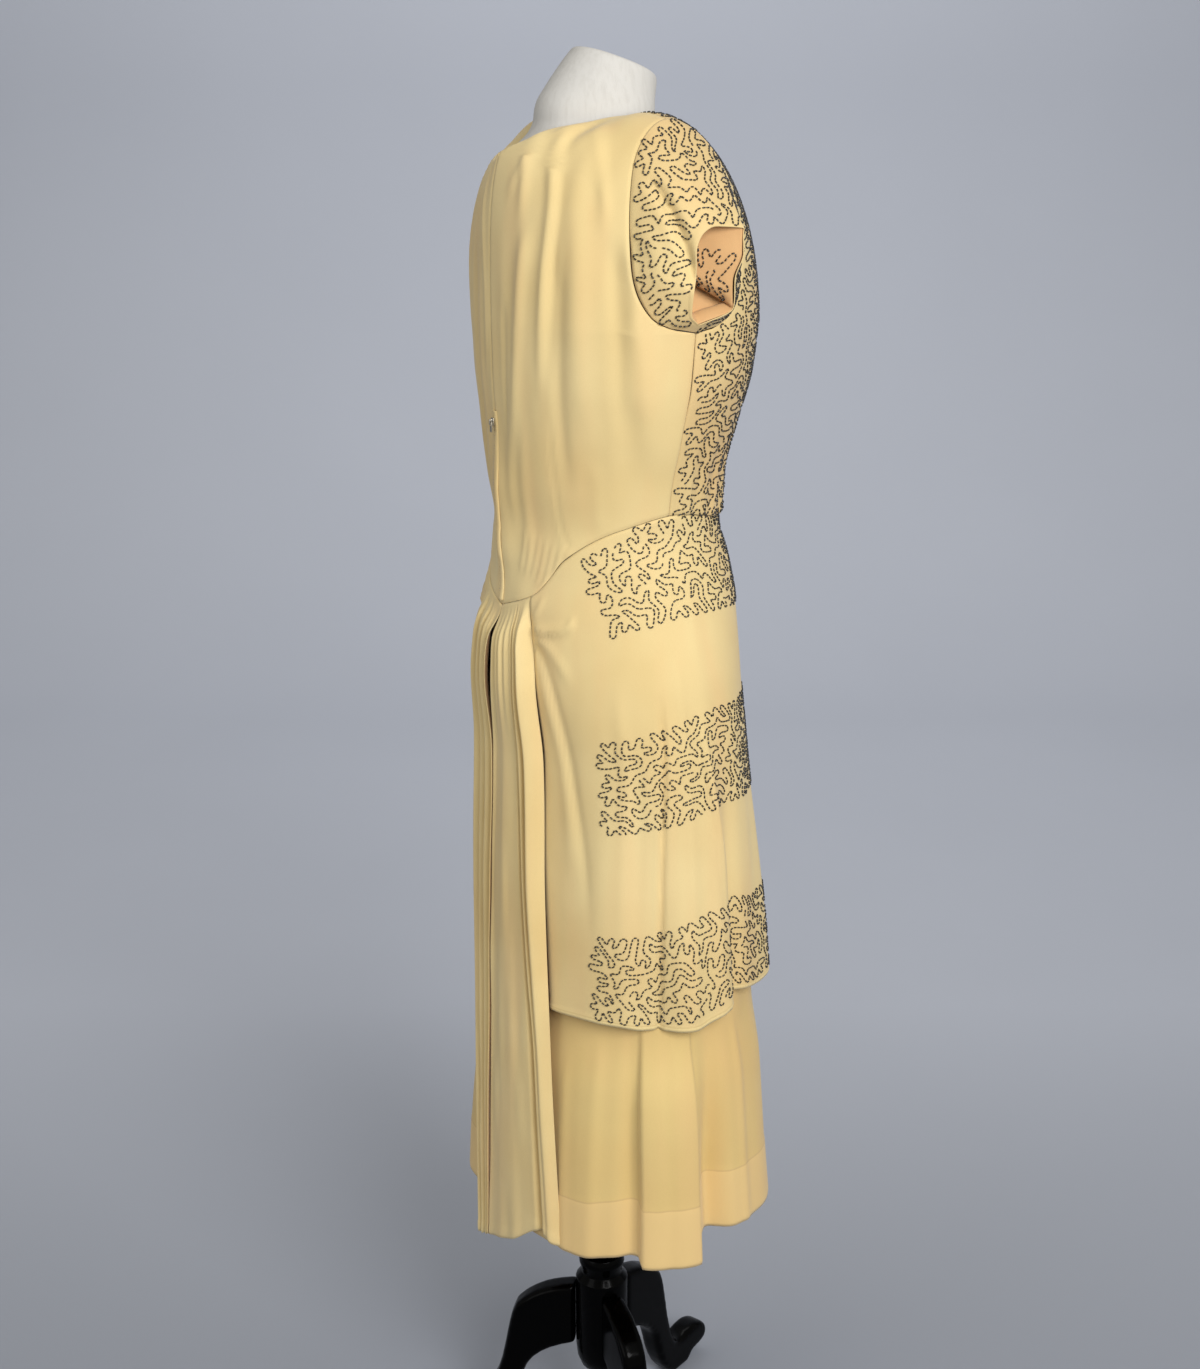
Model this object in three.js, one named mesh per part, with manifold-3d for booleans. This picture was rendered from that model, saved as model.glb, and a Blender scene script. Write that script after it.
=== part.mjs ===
// A butter-yellow crepe dress with a beaded front, on a limbless dress form and its tripod stand.
// Millimetres, +Z up. The dress faces -Y, so the wearer's right is -X and the back is +Y.
// Every cloth piece is a thin wall whose outer face is a surface worked out from the tables below.
import * as THREE from "three";
import { mergeVertices } from "three/addons/utils/BufferGeometryUtils.js";
import Module from "manifold-3d";

const wasm = await Module();
wasm.setup();

// ---- driving dimensions ----
const cloth = 1.6; // wall thickness of every cloth piece
const seamGap = 0.3; // clearance between pieces at a seam
const bustHeight = 1300; // level of the underarm point, where the shoulder surface begins
const bustHalfWidth = 167;
const placket = { foot: 1022, width: 8, lift: 0.5, thick: 1.2 };
const zip = { height: 1203, plateLong: 8, plateWide: 5.4, plateThick: 1.5 };
const zipArch = { long: 5.2, high: 3.3, wide: 1.7, bar: 0.9 };
const zipTab = { long: 10.5, wide: 4.2, thick: 1, slotLong: 3.4, slotWide: 2.5, bar: 1.1 };
const formFoot = 842; // level of the form's flat underside
const poleRadius = 12.5;
const hub = { radius: 30, foot: 80, top: 236 };
const leg = { reach: 150, toe: 48, width: 28, rise: 191, bearings: [6, 126, 246] };

const sides = { right: -1, left: 1 }; // the sign of x on each side of the wearer
const rad = THREE.MathUtils.degToRad;
const mix = THREE.MathUtils.lerp;

// A table is rows of named columns with the first column as its key; column() reads one of
// them as a smooth curve through the rows.
function column(table, name) {
  const key = Object.keys(table[0])[0];
  const xs = table.map((row) => row[key]);
  const ys = table.map((row) => row[name]);
  const last = xs.length - 1;
  const chord = (i) => (ys[i + 1] - ys[i]) / (xs[i + 1] - xs[i]);
  const slope = xs.map((_, i) => {
    if (i === 0 || i === last) return i ? chord(last - 1) : chord(0);
    const before = chord(i - 1);
    const after = chord(i);
    return before * after <= 0 ? 0 : (2 * before * after) / (before + after);
  });
  return (x) => {
    const at = Math.min(Math.max(x, xs[0]), xs[last]);
    let i = 0;
    while (i < last - 1 && at > xs[i + 1]) i += 1;
    const wide = xs[i + 1] - xs[i];
    const t = (at - xs[i]) / wide;
    const a = (1 + 2 * t) * (1 - t) ** 2 * ys[i] + t * (1 - t) ** 2 * wide * slope[i];
    return a + t * t * (3 - 2 * t) * ys[i + 1] + t * t * (t - 1) * wide * slope[i + 1];
  };
}

function curvesOf(table) {
  const names = Object.keys(table[0]).slice(1);
  return Object.fromEntries(names.map((name) => [name, column(table, name)]));
}

// Half width, depths behind and before the pole, and how far forward the widest line lies.
const sectionTable = [
  { height: 280, wide: 206, back: 132, front: 187, mid: 15 },
  { height: 440, wide: 196, back: 125, front: 174, mid: 14 },
  { height: 590, wide: 188, back: 119, front: 170, mid: 12 },
  { height: 730, wide: 183, back: 115, front: 157, mid: 10 },
  { height: 865, wide: 178, back: 111, front: 139, mid: 9 },
  { height: 950, wide: 167, back: 117, front: 132, mid: 8 },
  { height: 1020, wide: 148, back: 115, front: 131, mid: 8 },
  { height: 1060, wide: 136, back: 108, front: 125, mid: 7 },
  { height: 1100, wide: 126, back: 107, front: 115, mid: 6 },
  { height: 1145, wide: 132, back: 113, front: 116, mid: 6 },
  { height: 1205, wide: 149, back: 118, front: 130, mid: 8 },
  { height: 1250, wide: 161, back: 121, front: 142, mid: 10 },
  { height: 1300, wide: 167, back: 122, front: 148, mid: 10 },
];
const section = curvesOf(sectionTable);

// The shoulder ridge, by distance from the centre line: its height and how far forward it
// lies, and how square the back and the front are that run up to it.
const shoulderTable = [
  { out: 0, ridge: 1497, ahead: -10, squareBack: 4.5, squareFront: 2.3 },
  { out: 45, ridge: 1497, ahead: -10, squareBack: 3.8, squareFront: 2.3 },
  { out: 72, ridge: 1493, ahead: -8, squareBack: 3, squareFront: 2.2 },
  { out: 92, ridge: 1496, ahead: -2, squareBack: 2.4, squareFront: 2 },
  { out: 118, ridge: 1491, ahead: 6, squareBack: 2.1, squareFront: 1.8 },
  { out: 140, ridge: 1479, ahead: 14, squareBack: 2, squareFront: 1.8 },
  { out: 167, ridge: 1455, ahead: 26, squareBack: 2, squareFront: 1.8 },
];
const shoulder = curvesOf(shoulderTable);

// The wearer's left shoulder sits lower beside the neck.
function slip(reach) {
  const { smoothstep } = THREE.MathUtils;
  return 17 * smoothstep(reach, 1, 16) * (1 - smoothstep(reach, 80, 125));
}

// Edges of the upper bodice, by climb angle from the bust level to the shoulder ridge.
const armholeTable = [
  { climb: 0, back: 167, front: 167 },
  { climb: 5, back: 158, front: 160 },
  { climb: 16, back: 149, front: 150 },
  { climb: 27, back: 144.5, front: 143 },
  { climb: 43, back: 137, front: 135 },
  { climb: 60, back: 128, front: 127 },
  { climb: 90, back: 117, front: 117 },
];
const armhole = curvesOf(armholeTable);
const necklineTable = [
  { climb: 34, back: 0, backLeft: 0, front: 0 },
  { climb: 39, back: 0, backLeft: 0, front: 36 },
  { climb: 42, back: 0, backLeft: 0, front: 46 },
  { climb: 44, back: 11, backLeft: 22, front: 49.5 },
  { climb: 46.5, back: 25, backLeft: 36, front: 52.5 },
  { climb: 49.5, back: 35, backLeft: 44, front: 55.5 },
  { climb: 53, back: 40, backLeft: 50, front: 58.5 },
  { climb: 62, back: 45, backLeft: 56, front: 64.5 },
  { climb: 70, back: 51, backLeft: 60, front: 67.5 },
  { climb: 82, back: 63, backLeft: 66, front: 69.5 },
  { climb: 90, back: 70, backLeft: 70, front: 70 },
];
const neckline = curvesOf(necklineTable);

// The seam between bodice and skirt: it dips to a point at the centre back. Turn 0 is the
// centre back, 90 the side, 180 the centre front.
const basqueTable = [
  { turn: 0, height: 1017 },
  { turn: 20, height: 1036 },
  { turn: 38, height: 1077 },
  { turn: 65, height: 1107 },
  { turn: 94, height: 1120 },
  { turn: 125, height: 1110 },
  { turn: 180, height: 1098 },
];
const basque = curvesOf(basqueTable).height;

// ---- folds ----
// A fold is a soft ridge (or a valley where depth is negative) that runs down the cloth. It
// starts at `from`, is full at `full`, fades by `to`, and leans sideways by `lean` degrees.
function foldsOf(list) {
  return (turn, height) => {
    let out = 0;
    let shift = 0;
    for (const f of list) {
      const grown = THREE.MathUtils.smoothstep(f.from - height, 0, f.from - f.full);
      const faded = f.to === undefined ? 1 : THREE.MathUtils.smoothstep(height, f.to, f.to + 60);
      const drift = (f.drift || 0) * (f.from - height) * 0.01;
      const t = (turn - f.at - drift) / f.width;
      const bump = Math.exp(-t * t) * grown * faded;
      out += f.depth * bump;
      shift += (f.lean || 0) * bump;
    }
    return { out, shift };
  };
}

const bodiceFolds = foldsOf([
  { at: 0, width: 9, depth: 9, from: 1200, full: 1110, to: 1024 },
  { at: 9, width: 3, depth: 1.6, from: 1420, full: 1300, to: 1080, drift: 0.3 },
  { at: 19, width: 3, depth: 2.4, from: 1470, full: 1330, to: 1050, drift: -0.4 },
  { at: 30, width: 4, depth: 2, from: 1440, full: 1300, to: 1090, drift: -0.6 },
  { at: 45, width: 5, depth: 1.6, from: 1400, full: 1290, to: 1100, drift: -0.8 },
  { at: 62, width: 5, depth: 1.8, from: 1350, full: 1250, to: 1110, drift: -0.5 },
]);
const gatherFolds = foldsOf(
  [100, 112, 124, 136, 148, 160, 172].map((at, i) => ({
    at,
    width: 3.4,
    depth: 2.2 + (i % 3) * 0.5,
    from: 1236 + (i % 2) * 26,
    full: 1130,
  })),
);
const overskirtFolds = foldsOf([
  { at: 50, width: 9, depth: 4, from: 1000, full: 650 },
  { at: 71, width: 6, depth: -6, from: 900, full: 600 },
  { at: 86, width: 8, depth: 6, from: 900, full: 600 },
  { at: 99, width: 4.5, depth: 9, from: 980, full: 600, lean: 2 },
  { at: 109, width: 5, depth: -9, from: 980, full: 600 },
  { at: 138, width: 8, depth: 6, from: 900, full: 620 },
  { at: 157, width: 7, depth: -6, from: 960, full: 620 },
  { at: 178, width: 8, depth: 6, from: 920, full: 620 },
  { at: 205, width: 7, depth: -7, from: 940, full: 620 },
  { at: 222, width: 8, depth: 6, from: 940, full: 620 },
  { at: 244, width: 5, depth: -7, from: 960, full: 620 },
  { at: 258, width: 7, depth: 8, from: 960, full: 620 },
  { at: 284, width: 7, depth: -6, from: 900, full: 620 },
  { at: 304, width: 8, depth: 5, from: 980, full: 660 },
]);
const underskirtFolds = foldsOf([
  { at: 40, width: 9, depth: 5, from: 650, full: 400 },
  { at: 62, width: 5, depth: -6, from: 650, full: 400 },
  { at: 77, width: 9, depth: 11, from: 650, full: 400 },
  { at: 97, width: 6, depth: -26, from: 650, full: 400 },
  { at: 126, width: 8, depth: 4, from: 650, full: 400 },
  { at: 150, width: 8, depth: -9, from: 650, full: 400 },
  { at: 172, width: 9, depth: 6, from: 650, full: 400 },
  { at: 200, width: 8, depth: -10, from: 650, full: 400 },
  { at: 226, width: 9, depth: 5, from: 650, full: 400 },
  { at: 250, width: 7, depth: -14, from: 650, full: 400 },
  { at: 274, width: 9, depth: 8, from: 650, full: 400 },
  { at: 298, width: 7, depth: -9, from: 650, full: 400 },
  { at: 318, width: 8, depth: 4, from: 650, full: 400 },
]);

// ---- surfaces ----
// A point of the horizontal section at a height, moved out along the section's normal.
function bodyPoint(turn, height, out = 0) {
  const a = section.wide(height);
  const mid = section.mid(height);
  const s = Math.sin(rad(turn));
  const c = Math.cos(rad(turn));
  const deep = c > 0 ? section.back(height) + mid : section.front(height) - mid;
  const normal = new THREE.Vector2(-s * deep, c * a).normalize();
  return new THREE.Vector3(-a * s + normal.x * out, deep * c - mid + normal.y * out, height);
}

function foldedPoint(folds, turn, height, out = 0) {
  const f = folds(turn, height);
  return bodyPoint(turn + f.shift, height, out + f.out);
}

// The normal of a surface point from two steps along it, on the given side of the body.
function normalFrom(p, stepA, stepB, outward) {
  const n = stepA.sub(p).cross(stepB.sub(p)).normalize();
  return n.dot(outward) < 0 ? n.negate() : n;
}

// Gives a point of a seam the plain section's normal, so that both edges stay parallel.
function onSeam(p, turn, height) {
  const at = bodyPoint(turn, height);
  const outward = at.clone().setZ(0);
  p.fixedNormal = normalFrom(at, bodyPoint(turn + 1, height), bodyPoint(turn, height + 4), outward);
  return p;
}

// The upper bodice: `reach` is the distance from the centre line, `climb` the angle from the
// bust level (0) to the shoulder ridge (90).
function shoulderPoint(side, face, reach, climb, slipped = side > 0) {
  const back = face === "back";
  const mid = section.mid(bustHeight);
  const across = Math.sqrt(Math.max(0, 1 - (reach / bustHalfWidth) ** 2));
  const deep = back ? section.back(bustHeight) + mid : section.front(bustHeight) - mid;
  const level = -mid + (back ? deep : -deep) * across;
  const crest = -shoulder.ahead(reach);
  const rounding = back ? THREE.MathUtils.smoothstep(climb, 40, 75) : 0;
  const power = mix(back ? shoulder.squareBack(reach) : shoulder.squareFront(reach), 2, rounding);
  const c = Math.cos(rad(climb));
  const s = Math.sin(rad(climb));
  const size = (c ** power + s ** power) ** (-1 / power);
  const ridge = shoulder.ridge(reach) - (slipped ? slip(reach) : 0);
  return new THREE.Vector3(
    side * reach,
    mix(crest, level, c * size),
    bustHeight + (ridge - bustHeight) * s * size,
  );
}

// ---- sheets and walls ----
const climbs = [5, 11, 19, 27, 34, 39, 42, 44, 46.5, 50, 54, 60, 68, 77, 84, 89.9];

function gridSheet(rows) {
  const points = rows.flat();
  const wide = rows[0].length;
  const quads = [];
  for (let i = 0; i < rows.length - 1; i += 1)
    for (let j = 0; j < wide - 1; j += 1) {
      const at = i * wide + j;
      quads.push([at, at + 1, at + wide + 1, at + wide]);
    }
  return { points, quads };
}

// Sheets whose edge points coincide become one sheet.
function joinSheets(...sheets) {
  const points = [];
  const quads = [];
  const known = new Map();
  for (const sheet of sheets) {
    const index = sheet.points.map((p) => {
      const key = p.toArray().map((v) => Math.round(v * 200)).join();
      if (!known.has(key)) known.set(key, points.push(p) - 1);
      return known.get(key);
    });
    quads.push(...sheet.quads.map((quad) => quad.map((i) => index[i])));
  }
  return { points, quads };
}

function normalsOf({ points, quads }) {
  const normals = points.map(() => new THREE.Vector3());
  for (const [a, b, c, d] of quads) {
    const across = points[c].clone().sub(points[a]);
    const n = across.cross(points[d].clone().sub(points[b]));
    for (const i of [a, b, c, d]) normals[i].add(n);
  }
  return normals.map((n) => n.normalize());
}

// Turns the quads so that the sheet's faces look away from core(point).
function facing(sheet, core) {
  const normals = normalsOf(sheet);
  const sum = sheet.points.reduce((t, p, i) => t + normals[i].dot(p.clone().sub(core(p))), 0);
  if (sum < 0) sheet.quads.forEach((quad) => quad.reverse());
  return sheet;
}

// A closed wall: the sheet is its outer face, `thick` its thickness inwards.
function wall(sheet, thick = cloth) {
  const { points, quads } = sheet;
  const normals = normalsOf(sheet).map((n, i) => points[i].fixedNormal || n);
  normals.forEach((n, i) => Math.abs(points[i].x) < 0.5 && n.setX(0).normalize()); // centre seams
  const inner = points.map((p, i) => p.clone().addScaledVector(normals[i], -thick));
  const all = [...points, ...inner];
  const index = [];
  const edges = new Map();
  const shift = points.length;
  for (const [a, b, c, d] of quads) {
    index.push(a, b, c, a, c, d);
    index.push(a + shift, c + shift, b + shift, a + shift, d + shift, c + shift);
    for (const [p, q] of [[a, b], [b, c], [c, d], [d, a]]) {
      if (edges.has(`${q},${p}`)) edges.delete(`${q},${p}`);
      else edges.set(`${p},${q}`, [p, q]);
    }
  }
  for (const [p, q] of edges.values()) index.push(p, p + shift, q + shift, p, q + shift, q);
  const geometry = new THREE.BufferGeometry();
  geometry.setAttribute("position", new THREE.Float32BufferAttribute(all.flatMap((p) => p.toArray()), 3));
  geometry.setIndex(index);
  return geometry;
}

const poleCore = (p) => new THREE.Vector3(0, 0, p.z);

// ---- bodice ----
// The bodice's normal at the armhole, shared by both edges of the sleeve seam.
function armholeNormal(side, face, climb) {
  const reach = armhole[face](climb);
  const p = shoulderPoint(side, face, reach, climb);
  const inward = shoulderPoint(side, face, reach - 0.5, climb);
  const lower = shoulderPoint(side, face, reach, climb - 2);
  return normalFrom(p, inward, lower, new THREE.Vector3(side, face === "back" ? 0.5 : -0.5, 1));
}

// Rows of the upper bodice on one side, from the centre line to the armhole.
function shoulderRows(side, face, columns, slipped = side > 0) {
  const edge = neckline[face === "back" && slipped ? "backLeft" : face];
  return climbs.map((climb) => {
    const near = Math.max(edge(climb), seamGap / 2);
    const far = armhole[face](climb);
    return Array.from({ length: columns + 1 }, (_, j) => {
      const q = j / columns;
      const spread = mix(Math.sin(rad(90 * q)), q, climb / 90);
      const reach = mix(near, far, spread);
      const p = shoulderPoint(side, face, reach, climb, slipped);
      if (climb > 89) {
        const [low, high] = [-1, 1].map((d) => shoulderPoint(side, face, reach + d, climb, slipped).z);
        const slope = (high - low) / 2;
        p.fixedNormal = new THREE.Vector3(-side * slope, 0, 1).normalize();
      }
      if (j === columns) p.fixedNormal = armholeNormal(side, face, climb);
      return p;
    });
  });
}

// The seam between bodice and skirt runs straight between these stations, so that pieces with
// more columns than the bodice still meet it edge to edge.
const seamStep = 90 / 14;
const cascadeTop = 3 * seamStep; // where the pleated panel ends and the overskirt begins

function seamEdge(turn, rise) {
  const first = Math.floor(turn / seamStep + 1e-9);
  const [a, b] = [first, first + 1].map((i) => {
    const at = i * seamStep;
    const height = basque(at > 180 ? 360 - at : at);
    return onSeam(bodyPoint(at, height), at, height);
  });
  const t = turn / seamStep - first;
  const p = a.clone().lerp(b, t);
  p.fixedNormal = a.fixedNormal.clone().lerp(b.fixedNormal, t).normalize();
  p.z += rise;
  return p;
}

// Points are worked out on the wearer's right and reflected for the left.
function onSide(p, side) {
  if (side > 0) {
    p.x *= -1;
    if (p.fixedNormal) p.fixedNormal.x *= -1;
  }
  return p;
}

const bodiceLevels = [0, 0.17, 0.35, 0.52, 0.696, 0.85, 1]; // from the seam to the bust level

function bodiceBack(side) {
  const columns = 14;
  const low = bodiceLevels.map((h) =>
    Array.from({ length: columns + 1 }, (_, j) => {
      const turn = Math.min(Math.max(j * seamStep, 0.08), 89.9);
      if (h === 0) return onSide(seamEdge(turn, seamGap / 2), side);
      const height = mix(basque(turn) + seamGap / 2, bustHeight, h);
      const p = foldedPoint(bodiceFolds, turn, height);
      if (j % columns === 0) onSeam(p, turn, height);
      return onSide(p, side);
    }),
  );
  return gridSheet([...low, ...shoulderRows(side, "back", columns)]);
}

function bodiceFrontHalf(slipped) {
  const columns = 14;
  const low = bodiceLevels.map((h) =>
    Array.from({ length: columns + 1 }, (_, j) => {
      const turn = 180 - Math.min(j * seamStep, 89.9);
      const height = mix(basque(turn) + seamGap / 2, bustHeight, h);
      const p = h ? foldedPoint(gatherFolds, turn, height) : seamEdge(turn, seamGap / 2);
      if (j === columns) onSeam(p, turn, height);
      if (j === 0) p.x = 0;
      return p;
    }),
  );
  const high = shoulderRows(sides.right, "front", columns, slipped);
  high.forEach((row, i) => {
    if (neckline.front(climbs[i]) === 0) row[0].x = 0;
  });
  return gridSheet([...low, ...high]);
}

// ---- sleeves ----
// The sleeve hem as seen from the side, clockwise from the underarm up the back: distance
// out from the centre line, how far ahead of the pole, and height.
const hemTable = [
  { at: 0, out: 178, ahead: 6, height: 1309 },
  { at: 0.08, out: 181, ahead: -3, height: 1318 },
  { at: 0.2, out: 190, ahead: -6, height: 1344 },
  { at: 0.33, out: 192, ahead: -6, height: 1374 },
  { at: 0.42, out: 193, ahead: -1, height: 1390 },
  { at: 0.5, out: 194, ahead: 13, height: 1398 },
  { at: 0.6, out: 195, ahead: 42, height: 1395 },
  { at: 0.7, out: 195, ahead: 42, height: 1374 },
  { at: 0.8, out: 190, ahead: 36, height: 1350 },
  { at: 0.9, out: 186, ahead: 38, height: 1324 },
  { at: 1, out: 178, ahead: 6, height: 1309 },
];
const hem = curvesOf(hemTable);

// The armhole loop: up the back edge, over the shoulder and down the front edge.
function armholeLoop(side) {
  const under = onSide(onSeam(bodyPoint(90, bustHeight), 90, bustHeight), side);
  const edge = (face) => (climb) => {
    const p = shoulderPoint(side, face, armhole[face](climb), climb);
    p.fixedNormal = armholeNormal(side, face, climb);
    return p;
  };
  return [under, ...climbs.map(edge("back")), ...climbs.slice(0, -1).reverse().map(edge("front"))];
}

function sleeve(side) {
  const loop = armholeLoop(side);
  const count = loop.length;
  const lengths = [0];
  for (let i = 1; i <= count; i += 1)
    lengths.push(lengths[i - 1] + loop[i % count].distanceTo(loop[i - 1]));
  const steps = [0, 0.14, 0.34, 0.57, 0.8, 1];
  const heart = loop.reduce((t, p) => t.add(p), new THREE.Vector3()).divideScalar(count);
  const columns = Array.from({ length: count + 1 }, (_, k) => {
    const i = k % count;
    const at = lengths[k] / lengths[count];
    const end = new THREE.Vector3(side * hem.out(at), -hem.ahead(at), hem.height(at));
    const start = loop[i];
    const away = end.clone().sub(start).normalize();
    const out = start.clone().sub(heart).setX(0).normalize();
    const lift = new THREE.Vector3(side * 0.55, out.y, out.z);
    const crown = 7 * Math.sin(Math.PI * at) * (1 - THREE.MathUtils.smoothstep(at, 0.35, 0.6));
    return steps.map((w) => {
      const p = start.clone().lerp(end, w);
      p.addScaledVector(lift, crown * Math.sin(Math.PI * w));
      if (w === 0) {
        p.addScaledVector(away.addScaledVector(start.fixedNormal, -away.dot(start.fixedNormal)), seamGap);
        p.fixedNormal = start.fixedNormal;
      }
      return p;
    });
  });
  const rows = steps.map((_, w) => columns.map((columnPoints) => columnPoints[w]));
  const core = (p) => {
    const w = (Math.abs(p.x) - 118) / 85;
    return new THREE.Vector3(p.x, mix(heart.y, -22, w), mix(heart.z, 1355, w));
  };
  return wall(facing(joinSheets(gridSheet(rows)), core));
}

// ---- skirts ----
const cascadeTable = [
  { height: 280, right: 34.5, left: 12, lift: 7 },
  { height: 560, right: 28, left: 17, lift: 12 },
  { height: 740, right: 24, left: 20, lift: 13 },
  { height: 900, right: 22, left: 21.5, lift: 12 },
  { height: 980, right: 20.6, left: 20.6, lift: 9 },
  { height: 1015, right: 19.5, left: 19.5, lift: 4 },
  { height: 1040, right: cascadeTop, left: cascadeTop, lift: 0 },
];
const cascade = curvesOf(cascadeTable);

// Hem height of the pleated panels, from the centre back (0) to the outer edge (1).
const cascadeHemTable = [
  { across: 0, right: 298, left: 298 },
  { across: 0.4, right: 318, left: 290 },
  { across: 0.8, right: 346, left: 286 },
  { across: 1, right: 334, left: 288 },
];
const cascadeHem = curvesOf(cascadeHemTable);
const pleatCount = 3; // each side of the centre back

// The pleated centre-back panel on one side: full length, from the basque seam to the hem.
function cascadePanel(name) {
  const side = sides[name];
  const columns = 24;
  const downs = [0, 0.035, 0.08, 0.14, 0.24, 0.38, 0.54, 0.7, 0.86, 1];
  const rows = downs.map((down) =>
    Array.from({ length: columns + 1 }, (_, j) => {
      const q = j / columns;
      const top = seamEdge(mix(0.1, cascadeTop - 0.06, q), -seamGap / 2);
      if (down === 0) return onSide(top, side);
      const height = mix(top.z, cascadeHem[name](q), down);
      const opening = 0.25 + 3.2 * Math.exp(-(((height - 950) / 52) ** 2));
      const turn = mix(THREE.MathUtils.radToDeg(opening / 120), cascade[name](height), q);
      const grown = THREE.MathUtils.smoothstep(down, 0, 0.06);
      const deep = mix(5, 3.4, THREE.MathUtils.smoothstep(down, 0.15, 0.8));
      const pleat = -Math.cos(2 * Math.PI * pleatCount * q) * deep * grown;
      const p = bodyPoint(turn, height, cascade.lift(height) + pleat);
      if (j % columns === 0) onSeam(p, turn, height);
      return onSide(p, side);
    }),
  );
  return wall(facing(gridSheet(rows), poleCore));
}

// Every station of the seam, and a column between each second pair of them.
function overskirtTurns() {
  const turns = [];
  const last = 360 / seamStep - 3;
  for (let i = 3; i <= last; i += 1) {
    turns.push(i * seamStep);
    if (i % 2 && i < last) turns.push((i + 0.5) * seamStep);
  }
  turns[0] += 0.06;
  turns[turns.length - 1] -= 0.06;
  return turns;
}

// The tunic hem dips at each side and rises again towards the front.
const tunicHemTable = [
  { turn: 19, height: 600 },
  { turn: 44, height: 603 },
  { turn: 64, height: 598 },
  { turn: 83, height: 598 },
  { turn: 93, height: 608 },
  { turn: 105, height: 620 },
  { turn: 126, height: 611 },
  { turn: 180, height: 610 },
];
const tunicHem = column(tunicHemTable, "height");

function overskirt() {
  const turns = overskirtTurns();
  const downs = [0, 0.06, 0.15, 0.3, 0.48, 0.66, 0.84, 1];
  const start = turns[0];
  const rows = downs.map((down) =>
    turns.map((seamTurn) => {
      const q = (seamTurn - start) / (360 - 2 * start);
      const top = seamEdge(seamTurn, -seamGap / 2);
      if (down === 0) return top;
      const height = mix(top.z, tunicHem(seamTurn > 180 ? 360 - seamTurn : seamTurn), down);
      const under = 2.4 * THREE.MathUtils.smoothstep(down, 0.12, 0.5) - 0.5;
      const [first, last] = ["right", "left"].map((name) =>
        mix(start, cascade[name](height) - under, THREE.MathUtils.smoothstep(down, 0, 0.06)),
      );
      return foldedPoint(overskirtFolds, mix(first, 360 - last, q), height);
    }),
  );
  return wall(facing(gridSheet(rows), poleCore));
}

const underskirtInset = [
  { height: 320, inset: 0 },
  { height: 520, inset: 5 },
  { height: 590, inset: 13 },
  { height: 800, inset: 13 },
  { height: 980, inset: 9 },
  { height: 1110, inset: 2.4 },
];
const inset = curvesOf(underskirtInset).inset;

function underskirtHem(turn) {
  return 333 + 22 * THREE.MathUtils.smoothstep(turn, 88, 102);
}

function underskirt() {
  const columns = 66;
  const downs = [0, 0.035, 0.08, 0.14, 0.3, 0.55, 0.7, 0.85, 1];
  const startTurn = 8;
  const rows = downs.map((down) =>
    Array.from({ length: columns + 1 }, (_, j) => {
      const turn = mix(startTurn, 360 - startTurn, j / columns);
      const mirrored = turn > 180 ? 360 - turn : turn;
      const top = basque(mirrored) - 2;
      const height = mix(top, underskirtHem(mirrored), down);
      return foldedPoint(underskirtFolds, turn, height, -inset(height));
    }),
  );
  return wall(facing(gridSheet(rows), poleCore));
}

// ---- dress form ----
const formTable = [
  { height: formFoot, wide: 146, back: 84, front: 108, mid: 8 },
  { height: 950, wide: 146, back: 92, front: 108, mid: 8 },
  { height: 1020, wide: 134, back: 94, front: 112, mid: 8 },
  { height: 1100, wide: 114, back: 95, front: 102, mid: 6 },
  { height: 1205, wide: 136, back: 105, front: 116, mid: 8 },
  { height: 1300, wide: 148, back: 110, front: 134, mid: 8 },
  { height: 1370, wide: 148, back: 110, front: 108, mid: 2 },
  { height: 1410, wide: 134, back: 109, front: 84, mid: -4 },
  { height: 1432, wide: 114, back: 107, front: 70, mid: -6 },
  { height: 1450, wide: 90, back: 103, front: 62, mid: -6 },
  { height: 1467, wide: 66, back: 80, front: 55, mid: -5 },
  { height: 1484, wide: 57, back: 64, front: 51, mid: -3 },
  { height: 1498, wide: 56, back: 63, front: 50, mid: -1 },
  { height: 1512, wide: 51, back: 55, front: 51, mid: 2 },
  { height: 1527, wide: 46, back: 44, front: 53, mid: 6 },
  { height: 1542, wide: 43, back: 33, front: 55, mid: 11 },
];
const form = curvesOf(formTable);
const neckSlant = 0.34; // fall of the neck cap from back to front

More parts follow.
